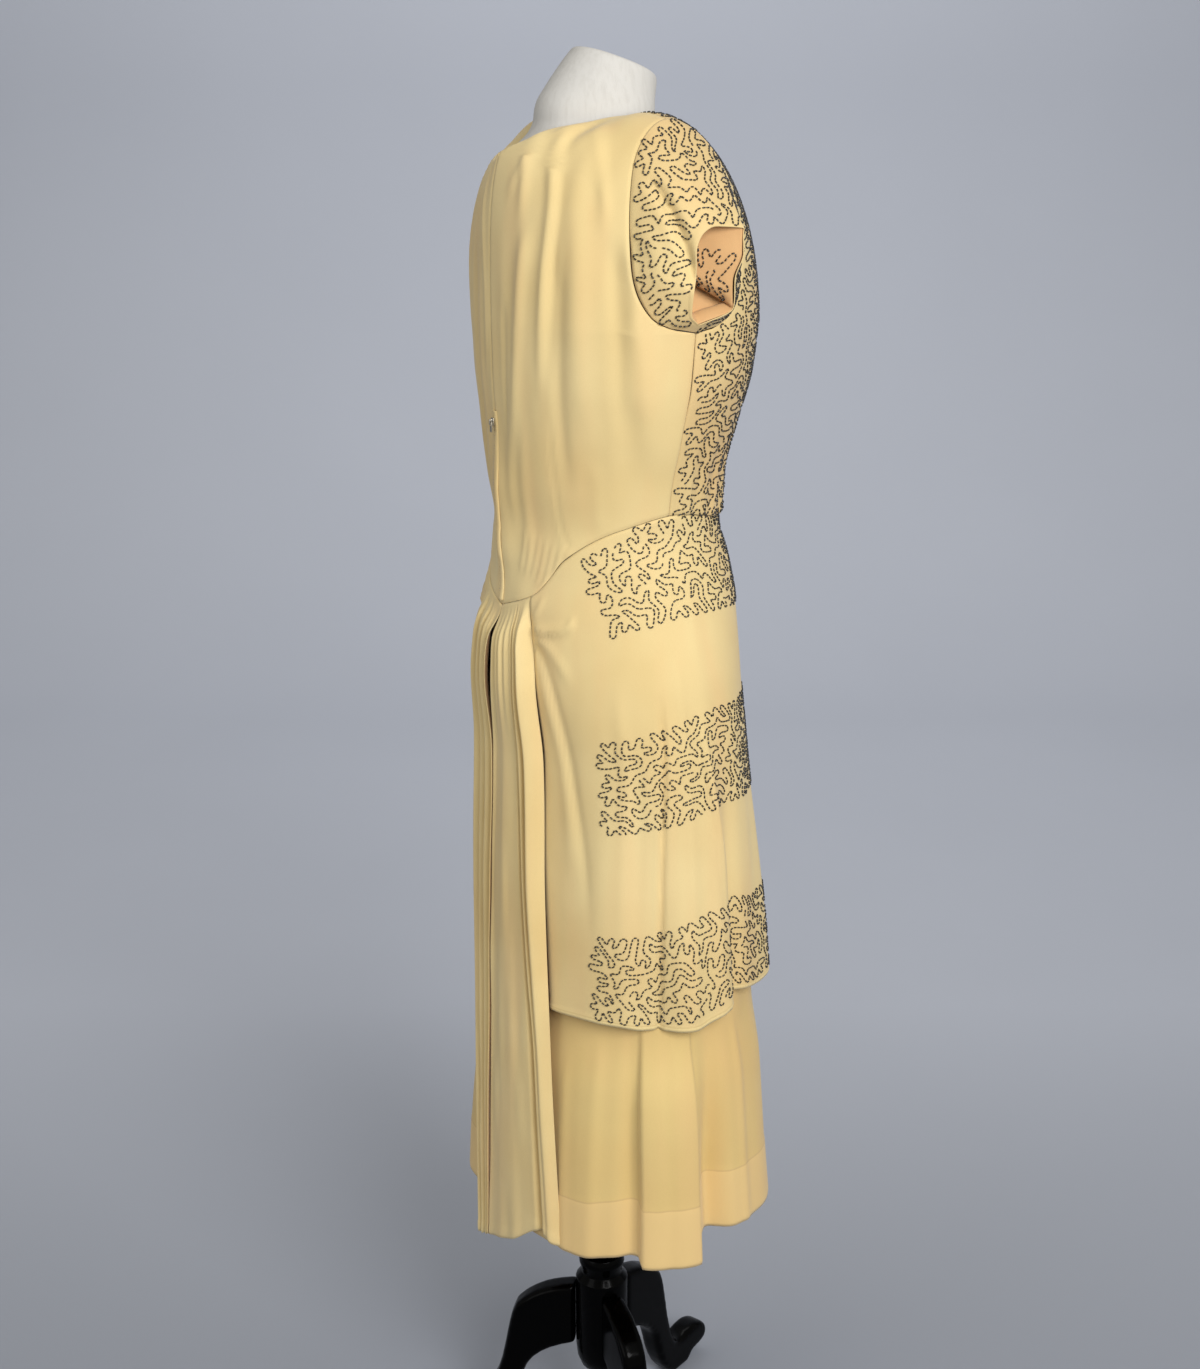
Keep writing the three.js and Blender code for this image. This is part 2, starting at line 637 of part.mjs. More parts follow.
function formTorso() {
  const columns = 30;
  const levels = [900, 970, 1035, 1100, 1160, 1220, 1280, 1340, 1385, 1420];
  levels.push(1442, 1458, 1472, 1482, 1490, 1500, 1512, 1527, 1542);
  const ringAt = (height, scale = 1, drop = 0) =>
    Array.from({ length: columns }, (_, j) => {
      const angle = (j / columns) * 2 * Math.PI;
      const mid = form.mid(height);
      const c = Math.cos(angle);
      const deep = c > 0 ? form.back(height) + mid : form.front(height) - mid;
      const x = -form.wide(height) * Math.sin(angle) * scale;
      const y = deep * c * scale - mid;
      const slant = neckSlant * THREE.MathUtils.smoothstep(height, 1496, 1535);
      return new THREE.Vector3(x, y, height - drop + slant * y);
    });
  const neckTop = formTable.at(-1).height;
  const rings = [ringAt(formFoot, 0.9), ringAt(formFoot + 4), ...levels.map((h) => ringAt(h))];
  rings.push(ringAt(neckTop, 0.95, -2.5), ringAt(neckTop, 0.84, -4));
  const points = rings.flat();
  const index = [];
  for (let i = 0; i < rings.length - 1; i += 1)
    for (let j = 0; j < columns; j += 1) {
      const a = i * columns + j;
      const b = i * columns + ((j + 1) % columns);
      index.push(a, b, b + columns, a, b + columns, a + columns);
    }
  const centreOf = (ring) => ring.reduce((t, p) => t.add(p), new THREE.Vector3()).divideScalar(columns);
  const foot = points.push(centreOf(rings[0])) - 1;
  const top = points.push(centreOf(rings.at(-1))) - 1;
  const lastRing = (rings.length - 1) * columns;
  for (let j = 0; j < columns; j += 1) {
    const next = (j + 1) % columns;
    index.push(foot, next, j);
    index.push(top, lastRing + j, lastRing + next);
  }
  const geometry = new THREE.BufferGeometry();
  geometry.setAttribute("position", new THREE.Float32BufferAttribute(points.flatMap((p) => p.toArray()), 3));
  geometry.setIndex(index);
  return geometry;
}

// ---- stand ----
function turned(profile, sides = 24) {
  const outline = profile.map(([radius, height]) => new THREE.Vector2(radius, height));
  return new THREE.LatheGeometry(outline, sides).rotateX(Math.PI / 2);
}

function hubProfile() {
  const { radius, foot, top } = hub;
  return [
    [0, foot],
    [radius * 0.5, foot],
    [radius * 0.8, foot + 7],
    [radius * 0.95, foot + 19],
    [radius, foot + 34],
    [radius, top - 34],
    [radius * 0.78, top - 27],
    [radius * 0.78, top - 22],
    [radius * 0.88, top - 13],
    [radius * 0.78, top - 4],
    [radius * 0.5, top],
    [0, top],
  ];
}

// One cabriole leg: an S-shaped outline in its own upright plane, with a flat pad and an
// upturned toe.
function legGeometry() {
  const { reach, toe, width, rise } = leg;
  const start = hub.radius + seamGap;
  const heel = reach - 22;
  const pad = reach + 6;
  const tip = reach + toe;
  const outline = new THREE.Shape();
  outline.moveTo(start, rise);
  outline.bezierCurveTo(start + 26, rise - 3, reach - 70, rise - 10, reach - 50, rise - 32);
  outline.bezierCurveTo(reach - 38, rise - 52, reach - 38, 76, reach - 18, 46);
  outline.bezierCurveTo(reach - 8, 35, reach + 6, 46, reach + 24, 45);
  outline.bezierCurveTo(tip - 8, 43, tip + 2, 34, tip, 24);
  outline.bezierCurveTo(tip - 2, 14, tip - 14, 12, tip - 26, 11);
  outline.bezierCurveTo(pad + 8, 10, pad + 6, 0, pad, 0);
  outline.lineTo(heel, 0);
  outline.bezierCurveTo(heel - 24, 18, heel - 30, 44, heel - 36, 66);
  outline.bezierCurveTo(heel - 42, 92, heel - 66, 106, start, 114);
  outline.closePath();
  const bevel = 5;
  const body = new THREE.ExtrudeGeometry(outline, {
    depth: width - 2 * bevel,
    curveSegments: 6,
    bevelThickness: bevel,
    bevelSize: bevel * 0.6,
    bevelOffset: -bevel * 0.6,
    bevelSegments: 1,
  });
  return body.translate(0, 0, bevel - width / 2).rotateX(Math.PI / 2);
}

// ---- placket and zip ----
// Depth of the centre-back edge at a height, straight between the bodice's rows as its wall is.
function backEdge(height) {
  const foot = basque(0);
  const level = (height - foot) / (bustHeight - foot);
  const i = Math.max(bodiceLevels.findIndex((h) => h >= level - 1e-9), 1);
  const [low, high] = [bodiceLevels[i - 1], bodiceLevels[i]];
  const depthAt = (h) => foldedPoint(bodiceFolds, 0.08, mix(foot, bustHeight, h)).y;
  return mix(depthAt(low), depthAt(high), (level - low) / (high - low));
}

const lapFace = (height) => backEdge(height) + placket.lift + placket.thick;

function placketStrip() {
  const foot = basque(0);
  const rows = [placket.foot, ...bodiceLevels.slice(1, 5).map((h) => mix(foot, bustHeight, h))];
  const strip = rows.map((height) =>
    [-1, 0, 1].map((across) => new THREE.Vector3((across * placket.width) / 2, lapFace(height), height)),
  );
  return wall(facing(gridSheet(strip), poleCore), placket.thick);
}

function solidOf(geometry) {
  const bare = geometry.clone();
  Object.keys(bare.attributes).forEach((name) => name !== "position" && bare.deleteAttribute(name));
  const merged = mergeVertices(bare, 1e-4);
  const mesh = { numProp: 3, vertProperties: merged.attributes.position.array };
  mesh.triVerts = new Uint32Array(merged.index.array);
  return new wasm.Manifold(new wasm.Mesh(mesh));
}

function geometryOf(solid) {
  const mesh = solid.getMesh();
  const geometry = new THREE.BufferGeometry();
  geometry.setAttribute("position", new THREE.BufferAttribute(mesh.vertProperties, 3));
  geometry.setIndex(new THREE.BufferAttribute(mesh.triVerts, 1));
  return geometry;
}

const zipFace = lapFace(zip.height + zip.plateLong / 2) + seamGap;

// The slider: a small plate with an arch that the tab's crossbar passes under.
function zipSlider() {
  const plate = new THREE.BoxGeometry(zip.plateWide, zip.plateThick, zip.plateLong);
  plate.translate(0, zipFace + zip.plateThick / 2, zip.height);
  const outline = new THREE.Shape();
  const half = zipArch.long / 2;
  outline.moveTo(-half, -0.4);
  outline.lineTo(half, -0.4);
  outline.absarc(half - 0.8, zipArch.high - 0.8, 0.8, 0, Math.PI / 2, false);
  outline.absarc(-half + 0.8, zipArch.high - 0.8, 0.8, Math.PI / 2, Math.PI, false);
  outline.closePath();
  const window = new THREE.Path();
  const inner = half - zipArch.bar;
  window.moveTo(-inner, 0);
  window.lineTo(-inner, zipArch.high - zipArch.bar);
  window.lineTo(inner, zipArch.high - zipArch.bar);
  window.lineTo(inner, 0);
  window.closePath();
  outline.holes.push(window);
  const arch = new THREE.ExtrudeGeometry(outline, {
    depth: zipArch.wide,
    bevelEnabled: false,
    curveSegments: 4,
  });
  arch.translate(0, 0, -zipArch.wide / 2);
  arch.applyMatrix4(new THREE.Matrix4().makeBasis(
    new THREE.Vector3(0, 0, 1),
    new THREE.Vector3(0, 1, 0),
    new THREE.Vector3(-1, 0, 0),
  ));
  arch.translate(0, zipFace + zip.plateThick, zip.height);
  return geometryOf(solidOf(plate).add(solidOf(arch)));
}

const zipPivot = { y: zipFace + zip.plateThick + 1.2, z: zip.height };

// The pull tab hangs from its crossbar; its slot straddles the arch.
function zipPullTab() {
  const { long, wide, thick, slotLong, slotWide, bar } = zipTab;
  const outline = new THREE.Shape();
  const corner = 1;
  const top = bar / 2;
  const foot = top - long;
  outline.moveTo(-wide / 2, top);
  outline.lineTo(-wide / 2, foot + corner);
  outline.absarc(-wide / 2 + corner, foot + corner, corner, Math.PI, 1.5 * Math.PI, false);
  outline.absarc(wide / 2 - corner, foot + corner, corner, 1.5 * Math.PI, 2 * Math.PI, false);
  outline.lineTo(wide / 2, top);
  outline.closePath();
  const slot = new THREE.Path();
  slot.moveTo(-slotWide / 2, -bar / 2);
  slot.lineTo(slotWide / 2, -bar / 2);
  slot.lineTo(slotWide / 2, -bar / 2 - slotLong);
  slot.lineTo(-slotWide / 2, -bar / 2 - slotLong);
  slot.closePath();
  outline.holes.push(slot);
  const tab = new THREE.ExtrudeGeometry(outline, { depth: thick, bevelEnabled: false, curveSegments: 3 });
  tab.translate(0, 0, -thick / 2).rotateX(Math.PI / 2);
  return tab.translate(0, zipPivot.y, zipPivot.z);
}

// ---- assembly ----
const finishes = {
  crepe: new THREE.MeshStandardMaterial({ color: 0xebd099, roughness: 0.8 }),
  beadedCrepe: new THREE.MeshStandardMaterial({ color: 0xceb084, roughness: 0.75 }),
  linen: new THREE.MeshStandardMaterial({ color: 0xe7e6e3, roughness: 0.9 }),
  blackLacquer: new THREE.MeshStandardMaterial({ color: 0x0b0b0b, roughness: 0.25 }),
  zipMetal: new THREE.MeshStandardMaterial({ color: 0xb9b3a6, roughness: 0.4, metalness: 0.9 }),
};

const dress = new THREE.Group();

function add(name, geometry, finish) {
  const mesh = new THREE.Mesh(geometry, finishes[finish].clone());
  mesh.name = name;
  dress.add(mesh);
  return mesh;
}

for (const [name, side] of Object.entries(sides)) {
  add(`bodice_back_${name}`, wall(facing(bodiceBack(side), poleCore)), "crepe");
  add(`sleeve_${name}`, sleeve(side), "beadedCrepe");
  add(`skirt_back_${name}`, cascadePanel(name), "crepe");
}
const front = joinSheets(bodiceFrontHalf(false), mirrored(bodiceFrontHalf(true)));
add("bodice_front", wall(facing(front, poleCore)), "beadedCrepe");
add("overskirt", overskirt(), "crepe");
add("underskirt", underskirt(), "crepe");
add("placket_lap", placketStrip(), "crepe");
add("zip_slider", zipSlider(), "zipMetal");
add("zip_pull_tab", zipPullTab(), "zipMetal");
add("form_torso", formTorso(), "linen");
const poleLevels = [hub.top + seamGap, formFoot - seamGap];
const poleWall = poleLevels.map((level) => [poleRadius, level]);
const poleProfile = [[0, poleLevels[0]], ...poleWall, [0, poleLevels[1]]];
add("stand_pole", turned(poleProfile), "blackLacquer");
add("stand_hub", turned(hubProfile()), "blackLacquer");
leg.bearings.forEach((bearing, i) => {
  const mesh = add(`stand_leg_${i + 1}`, legGeometry(), "blackLacquer");
  mesh.rotation.z = Math.PI - rad(bearing);
});

// A sheet reflected to the other side of the centre line.
function mirrored({ points, quads }) {
  return {
    points: points.map((p) => onSide(p, sides.left)),
    quads: quads.map((quad) => [...quad].reverse()),
  };
}

// The origin is the bottom centre of the whole object's box.
dress.updateMatrixWorld(true);
const box = new THREE.Box3().setFromObject(dress, true);
dress.position.set(-(box.min.x + box.max.x) / 2, -(box.min.y + box.max.y) / 2, -box.min.z);

export default dress;
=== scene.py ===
import math
import random

import bpy
import numpy as np
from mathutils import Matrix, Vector
from mathutils.bvhtree import BVHTree


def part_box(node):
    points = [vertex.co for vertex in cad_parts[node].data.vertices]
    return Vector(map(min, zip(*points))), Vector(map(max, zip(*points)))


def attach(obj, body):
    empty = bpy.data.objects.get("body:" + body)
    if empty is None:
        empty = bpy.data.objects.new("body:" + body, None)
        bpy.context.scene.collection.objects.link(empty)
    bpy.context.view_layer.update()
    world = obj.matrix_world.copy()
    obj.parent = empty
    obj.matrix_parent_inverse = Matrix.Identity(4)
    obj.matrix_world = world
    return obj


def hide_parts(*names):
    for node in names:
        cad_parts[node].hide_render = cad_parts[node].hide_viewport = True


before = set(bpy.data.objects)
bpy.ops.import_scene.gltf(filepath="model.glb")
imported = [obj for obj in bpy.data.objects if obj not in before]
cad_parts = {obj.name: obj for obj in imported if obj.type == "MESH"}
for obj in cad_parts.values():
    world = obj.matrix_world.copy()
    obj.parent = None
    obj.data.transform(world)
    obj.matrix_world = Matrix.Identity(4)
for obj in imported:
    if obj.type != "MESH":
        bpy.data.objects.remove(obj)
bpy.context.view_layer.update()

mm = 0.001
poleLow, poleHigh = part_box("stand_pole")
poleX = (poleLow[0] + poleHigh[0]) / 2  # the dress is drawn in mm around the pole, back towards +Y
poleY = (poleLow[1] + poleHigh[1]) / 2


# camera
cameraSet = {  # degrees round the dress from its front, metres, degrees down and aside, mm of lens
    "around": 242, "distance": 2.0, "height": 1.531, "down": 17.1, "aside": 0.058, "lens": 52.33,
}


def makeCamera():
    around = math.radians(cameraSet["around"])
    tilt = math.radians(90 - cameraSet["down"])
    place = (
        poleX + cameraSet["distance"] * math.sin(around),
        poleY - cameraSet["distance"] * math.cos(around),
        cameraSet["height"],
    )
    turn = around + math.radians(cameraSet["aside"])
    bpy.ops.object.camera_add(location=place, rotation=(tilt, 0, turn))
    camera = bpy.context.object
    camera.data.lens = cameraSet["lens"]
    camera.data.sensor_width = 36
    bpy.context.scene.camera = camera


makeCamera()
print("camera made")


# reading tables as smooth curves
def smooth(x, low, high):
    t = np.clip((np.asarray(x, float) - low) / (high - low), 0, 1)
    return t * t * (3 - 2 * t)


def mix(a, b, t):
    return a + (b - a) * t


def curve(keys, values):  # a smooth curve that never overshoots its points
    keys = np.array(keys, float)
    values = np.array(values, float)
    chord = np.diff(values) / np.diff(keys)
    slope = np.empty_like(values)
    slope[0] = chord[0]
    slope[-1] = chord[-1]
    before, after = chord[:-1], chord[1:]
    rising = before * after > 0
    slope[1:-1] = np.where(rising, 2 * before * after / np.where(rising, before + after, 1), 0)

    def read(x):
        at = np.clip(np.asarray(x, float), keys[0], keys[-1])
        i = np.clip(np.searchsorted(keys, at, side="right") - 1, 0, len(keys) - 2)
        wide = keys[i + 1] - keys[i]
        t = (at - keys[i]) / wide
        low = (1 + 2 * t) * (1 - t) ** 2 * values[i] + t * (1 - t) ** 2 * wide * slope[i]
        high = t * t * (3 - 2 * t) * values[i + 1] + t * t * (t - 1) * wide * slope[i + 1]
        return low + high

    return read


def curvesOf(table):  # the first column is the key, the others are read from it
    key = next(iter(table))
    return {name: curve(table[key], table[name]) for name in table if name != key}


def spread(count, crowd=0.1):  # 0 to 1, with closer steps at both ends
    t = np.linspace(0, 1, count)
    return t - crowd * np.sin(2 * np.pi * t)


def wander(u, v, seed):  # a soft random field from -1 to 1, one swell to each unit
    grid = np.random.default_rng(seed).uniform(-1, 1, (64, 64))
    i, j = np.floor(u).astype(int), np.floor(v).astype(int)
    s, t = smooth(u - i, 0, 1), smooth(v - j, 0, 1)
    low = mix(grid[i % 64, j % 64], grid[(i + 1) % 64, j % 64], s)
    high = mix(grid[i % 64, (j + 1) % 64], grid[(i + 1) % 64, (j + 1) % 64], s)
    return mix(low, high, t)


# the body under the cloth: turn 0 is the centre back, 90 the wearer's right side, 180 the front
bodySet = {
    "height": [280, 440, 590, 730, 865, 950, 1020, 1060, 1100, 1145, 1205, 1250, 1300],
    "wide": [206, 196, 188, 183, 178, 167, 148, 136, 126, 132, 149, 161, 167],
    "back": [132, 125, 119, 115, 111, 117, 115, 108, 107, 113, 118, 121, 122],
    "front": [187, 174, 170, 157, 139, 132, 131, 125, 115, 116, 130, 142, 148],
    "mid": [15, 14, 12, 10, 9, 8, 8, 7, 6, 6, 8, 10, 10],  # how far ahead of the pole it is widest
}
shoulderSet = {  # by mm out: the shoulder seam's height, how far ahead it lies, how square the cloth is
    "out": [0, 45, 72, 92, 118, 140, 167],
    "ridge": [1497, 1497, 1493, 1496, 1491, 1479, 1455],
    "ahead": [-10, -10, -8, -2, 6, 14, 26],
    "squareBack": [4.5, 3.8, 3, 2.4, 2.1, 2, 2],
    "squareFront": [2.3, 2.3, 2.2, 2, 1.8, 1.8, 1.8],
}
armholeSet = {  # climb is 0 level with the underarm and 90 on the shoulder seam; the rest is mm out
    "climb": [0, 5, 16, 27, 43, 60, 90],
    "back": [167, 158, 149, 144.5, 137, 128, 117],
    "front": [167, 160, 150, 143, 135, 127, 117],
}
necklineSet = {
    "climb": [34, 39, 42, 44, 46.5, 49.5, 53, 62, 70, 82, 90],
    "back": [0, 0, 0, 11, 25, 35, 40, 45, 51, 63, 70],
    "backLeft": [0, 0, 0, 22, 36, 44, 50, 56, 60, 66, 70],
    "front": [0, 36, 46, 49.5, 52.5, 55.5, 58.5, 64.5, 67.5, 69.5, 70],
}
basqueSet = {  # the seam that joins bodice and skirts
    "turn": [0, 20, 38, 65, 94, 125, 180],
    "height": [1017, 1036, 1077, 1107, 1120, 1110, 1098],
}
slipSet = {"drop": 19, "full": 16, "fades": (80, 125)}
bustHeight = bodySet["height"][-1]
bustHalfWidth = bodySet["wide"][-1]
topClimb = 89.9  # degrees up the shoulder, just short of its ridge
body = curvesOf(bodySet)
shoulder = curvesOf(shoulderSet)
armhole = curvesOf(armholeSet)
neckline = curvesOf(necklineSet)
basque = curvesOf(basqueSet)["height"]


def toBack(turn):  # the same angle counted on either side of the centre back
    return np.where(turn > 180, 360 - turn, turn)


def bodyPoint(turn, height, out=0):
    turn, height, out = np.broadcast_arrays(np.asarray(turn, float), height, out)
    wide, mid = body["wide"](height), body["mid"](height)
    s, c = np.sin(np.radians(turn)), np.cos(np.radians(turn))
    deep = np.where(c > 0, body["back"](height) + mid, body["front"](height) - mid)
    size = np.hypot(s * deep, c * wide)
    x = -wide * s - s * deep / size * out
    y = deep * c - mid + c * wide / size * out
    return np.stack([x, y, height], axis=-1)


def slip(reach):  # the wearer's left shoulder sits lower beside the neck
    return slipSet["drop"] * smooth(reach, 1, slipSet["full"]) * (1 - smooth(reach, *slipSet["fades"]))


def shoulderPoint(face, reach, climb, slipped=False):
    reach, climb = np.broadcast_arrays(np.asarray(reach, float), climb)
    mid = body["mid"](bustHeight)
    across = np.sqrt(np.clip(1 - (reach / bustHalfWidth) ** 2, 0, 1))
    deep = body["back"](bustHeight) + mid if face == "back" else mid - body["front"](bustHeight)
    square = shoulder["squareBack"](reach) if face == "back" else shoulder["squareFront"](reach)
    power = mix(square, 2, smooth(climb, 40, 75)) if face == "back" else square
    c, s = np.cos(np.radians(climb)), np.sin(np.radians(climb))
    size = (c**power + s**power) ** (-1 / power)
    y = mix(-shoulder["ahead"](reach), deep * across - mid, c * size)
    ridge = shoulder["ridge"](reach) - slip(reach) * slipped
    z = bustHeight + (ridge - bustHeight) * s * size
    return np.stack([-reach, y, z], axis=-1)


# folds run down the cloth; creases follow a line of points over it
def fold(at, width, depth, start, full, to=None, drift=0, lean=0):
    return {  # at and width in degrees, depth in mm, and the heights where it starts, is full and ends
        "at": at, "width": width, "depth": depth, "start": start, "full": full,
        "to": to, "drift": drift, "lean": lean,
    }


def crease(points, width, depth, lip=0, start=0.2, end=0.35):
    return {  # all in mm; start and end are the shares of its length over which it comes and goes
        "points": points, "width": width, "depth": depth, "lip": lip, "start": start, "end": end,
    }


def foldsOf(folds):
    def read(turn, height):
        out = np.zeros(np.broadcast(turn, height).shape)
        shift = np.zeros_like(out)
        for one in folds:
            grown = smooth(one["start"] - height, 0, one["start"] - one["full"])
            faded = smooth(height, one["to"], one["to"] + 60) if one["to"] else 1
            drift = one["drift"] * (one["start"] - height) * 0.01
            bump = np.exp(-(((turn - one["at"] - drift) / one["width"]) ** 2)) * grown * faded
            out += one["depth"] * bump
            shift += one["lean"] * bump
        return out, shift

    return read


def roundLine(points, steps=6):  # a smooth line through given points
    p = np.array(points, float)
    p = np.vstack([2 * p[0] - p[1], p, 2 * p[-1] - p[-2]])
    line = []
    for i in range(1, len(p) - 2):
        for t in np.arange(steps) / steps:
            a = 2 * p[i] + (p[i + 1] - p[i - 1]) * t
            b = (2 * p[i - 1] - 5 * p[i] + 4 * p[i + 1] - p[i + 2]) * t**2
            line.append((a + b + (3 * p[i] - p[i - 1] - 3 * p[i + 1] + p[i + 2]) * t**3) / 2)
    return np.array(line + [p[-2]])


def creaseRelief(creases, across, height):
    relief = np.zeros(np.broadcast(across, height).shape)
    for one in creases:
        line = roundLine(one["points"])
        near = np.full(relief.shape, 1e9)
        side = np.zeros_like(relief)
        along = np.zeros_like(relief)
        for i in range(len(line) - 1):
            step = line[i + 1] - line[i]
            dx, dz = across - line[i, 0], height - line[i, 1]
            t = np.clip((dx * step[0] + dz * step[1]) / (step @ step), 0, 1)
            gap = np.hypot(dx - t * step[0], dz - t * step[1])
            closer = gap < near
            near = np.where(closer, gap, near)
            side = np.where(closer, np.sign(step[0] * dz - step[1] * dx), side)
            along = np.where(closer, (i + t) / (len(line) - 1), along)
        fade = smooth(along, 0, one["start"]) * smooth(1 - along, 0, one["end"])
        d = near / one["width"]
        bump = np.exp(-d * d)
        relief += (one["depth"] + one["lip"] * side * d) * bump * fade
    return relief


# grids of points become cloth
def poleCore(points):
    core = points.copy()
    core[..., :2] = 0
    return core


def normalsOf(points, core=poleCore):
    down = np.gradient(points, axis=0)
    across = np.gradient(points, axis=1)
    normals = np.cross(across, down)
    normals /= np.maximum(np.linalg.norm(normals, axis=-1, keepdims=True), 1e-9)
    facing = np.sign((normals * (points - core(points))).sum())
    return normals * facing


def steps(points, axis):
    lengths = np.linalg.norm(np.diff(points, axis=axis), axis=2)
    pad = [(1, 0), (0, 0)] if axis == 0 else [(0, 0), (1, 0)]
    return np.cumsum(np.pad(lengths, pad), axis=axis)


def flatten(points, centre=0):  # the cut of a grid: mm along its rows, and mm up from its first row
    across = steps(points, 1)
    up = steps(points, 0).mean(axis=1, keepdims=True)
    across = across - across[:, centre : centre + 1]
    return np.stack([across, np.broadcast_to(up, across.shape)], axis=2)


def seamDip(points, edges, deep=0.8, wide=2.2):  # cloth turns in where it is sewn
    dip = np.zeros(points.shape[:2])
    for edge in edges:
        axis = 0 if edge in ("bottom", "top") else 1
        away = steps(points, axis)
        if edge in ("top", "last"):
            away = away.max(axis=axis, keepdims=True) - away
        dip -= deep * np.exp(-((away / wide) ** 2))
    return dip


def hemRoll(points, deep=0.7, wide=5.0):  # the doubled strip along a turned hem
    away = steps(points, 0)
    return deep * (1 - smooth(away, wide, wide + 2)) * smooth(away, 0, 1.2)


def gridFaces(rows, columns, closed=False):
    across = columns if closed else columns - 1
    i, j = np.meshgrid(np.arange(rows - 1), np.arange(across), indexing="ij")
    k = (j + 1) % columns
    low, high = i * columns, (i + 1) * columns
    return np.stack([low + j, low + k, high + k, high + j], axis=-1)


def toRow(points):  # from mm around the pole to metres in the part's own frame
    placed = np.asarray(points, float) * mm
    return placed + np.array([poleX, poleY, 0])


def apply(piece, kind, **settings):
    bpy.context.view_layer.objects.active = piece
    modifier = piece.modifiers.new(kind.lower(), kind)
    for name, value in settings.items():
        setattr(modifier, name, value)
    bpy.ops.object.modifier_apply(modifier=modifier.name)


def newPiece(name, vertices, faces, cut=None):
    mesh = bpy.data.meshes.new(name)
    mesh.from_pydata(vertices.tolist(), [], faces)
    if cut is not None:
        layer = mesh.uv_layers.new(name="cut")
        corners = np.empty(len(mesh.loops), np.int32)
        mesh.loops.foreach_get("vertex_index", corners)
        layer.data.foreach_set("uv", np.asarray(cut)[corners].astype(np.float32).ravel())
    mesh.polygons.foreach_set("use_smooth", [True] * len(mesh.polygons))
    piece = bpy.data.objects.new(name, mesh)
    bpy.context.scene.collection.objects.link(piece)
    return piece


def selectOnly(piece):
    bpy.ops.object.select_all(action="DESELECT")
    piece.select_set(True)
    bpy.context.view_layer.objects.active = piece


def weld(piece, quads=False):  # joins the points that meet at a seam
    selectOnly(piece)
    bpy.ops.object.mode_set(mode="EDIT")
    bpy.ops.mesh.select_all(action="SELECT")
    bpy.ops.mesh.remove_doubles(threshold=0.02 * mm)
    if quads:
        bpy.ops.mesh.tris_convert_to_quads(face_threshold=0.9, shape_threshold=0.9)
    bpy.ops.object.mode_set(mode="OBJECT")


def sew(name, grids, finish, thick=0.9, core=poleCore, closed=False, shadedInside=None):
    # each grid is its points in the round and the same points in its flat cut, in mm
    vertices, faces, cuts, first = [], [], [], 0
    for points, cut in grids:
        rows, columns = points.shape[:2]
        quads = gridFaces(rows, columns, closed).reshape(-1, 4)
        flat = points.reshape(-1, 3)
        a, b, c, d = (flat[quads[:, k]] for k in range(4))
        faceNormals = np.cross(c - a, d - b)
        if (faceNormals * (a - core(points).reshape(-1, 3)[quads[:, 0]])).sum() < 0:
            quads = quads[:, ::-1]
        vertices.append(toRow(flat))
        faces.append(quads + first)
        cuts.append(cut.reshape(-1, 2) * mm)
        first += len(flat)
    piece = newPiece(name, np.vstack(vertices), np.vstack(faces).tolist(), np.vstack(cuts))
    piece.data.materials.append(finish)
    # the second slot colours the inner faces; the darker peach crepe given there is painted shade
    piece.data.materials.append(shadedInside or finish)
    if len(grids) > 1:
        weld(piece)
    apply(piece, "SOLIDIFY", thickness=thick * mm, offset=-1, material_offset=1)
    return piece


cloths = []


def keepCloth(piece, grids, held, restsOn, node, slot):
    cloths.append(dict(piece=piece, grids=grids, held=held, restsOn=restsOn, node=node, slot=slot))


def declareCloth(piece, grids, held, restsOn, node, slot, trim=()):
    wide = max(float(steps(points, 1).max()) for points, _ in grids) * mm * len(grids)
    long = max(float(steps(points, 0).max()) for points, _ in grids) * mm
    area = 0.0
    for points, _ in grids:
        across = (points[1:, 1:] - points[:-1, :-1], points[1:, :-1] - points[:-1, 1:])
        area += float(np.linalg.norm(np.cross(*across), axis=2).sum() / 2) * mm * mm
    wide = max(wide, 0.01)
    area = min(area, wide * long)
    if node:
        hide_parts(node)
    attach(piece, "dress")


# shader maths
class Value:
    def __init__(self, recipe, socket):
        self.recipe = recipe
        self.socket = socket

    def math(self, operation, first, second=None):
        values = [first] if second is None else [first, second]
        return self.recipe.node("ShaderNodeMath", {"operation": operation}, *values)

    def __add__(self, other):
        return self.math("ADD", self, other)

    def __mul__(self, other):
        return self.math("MULTIPLY", self, other)

    def __sub__(self, other):
        return self.math("SUBTRACT", self, other)

    def __rsub__(self, other):
        return self.math("SUBTRACT", other, self)


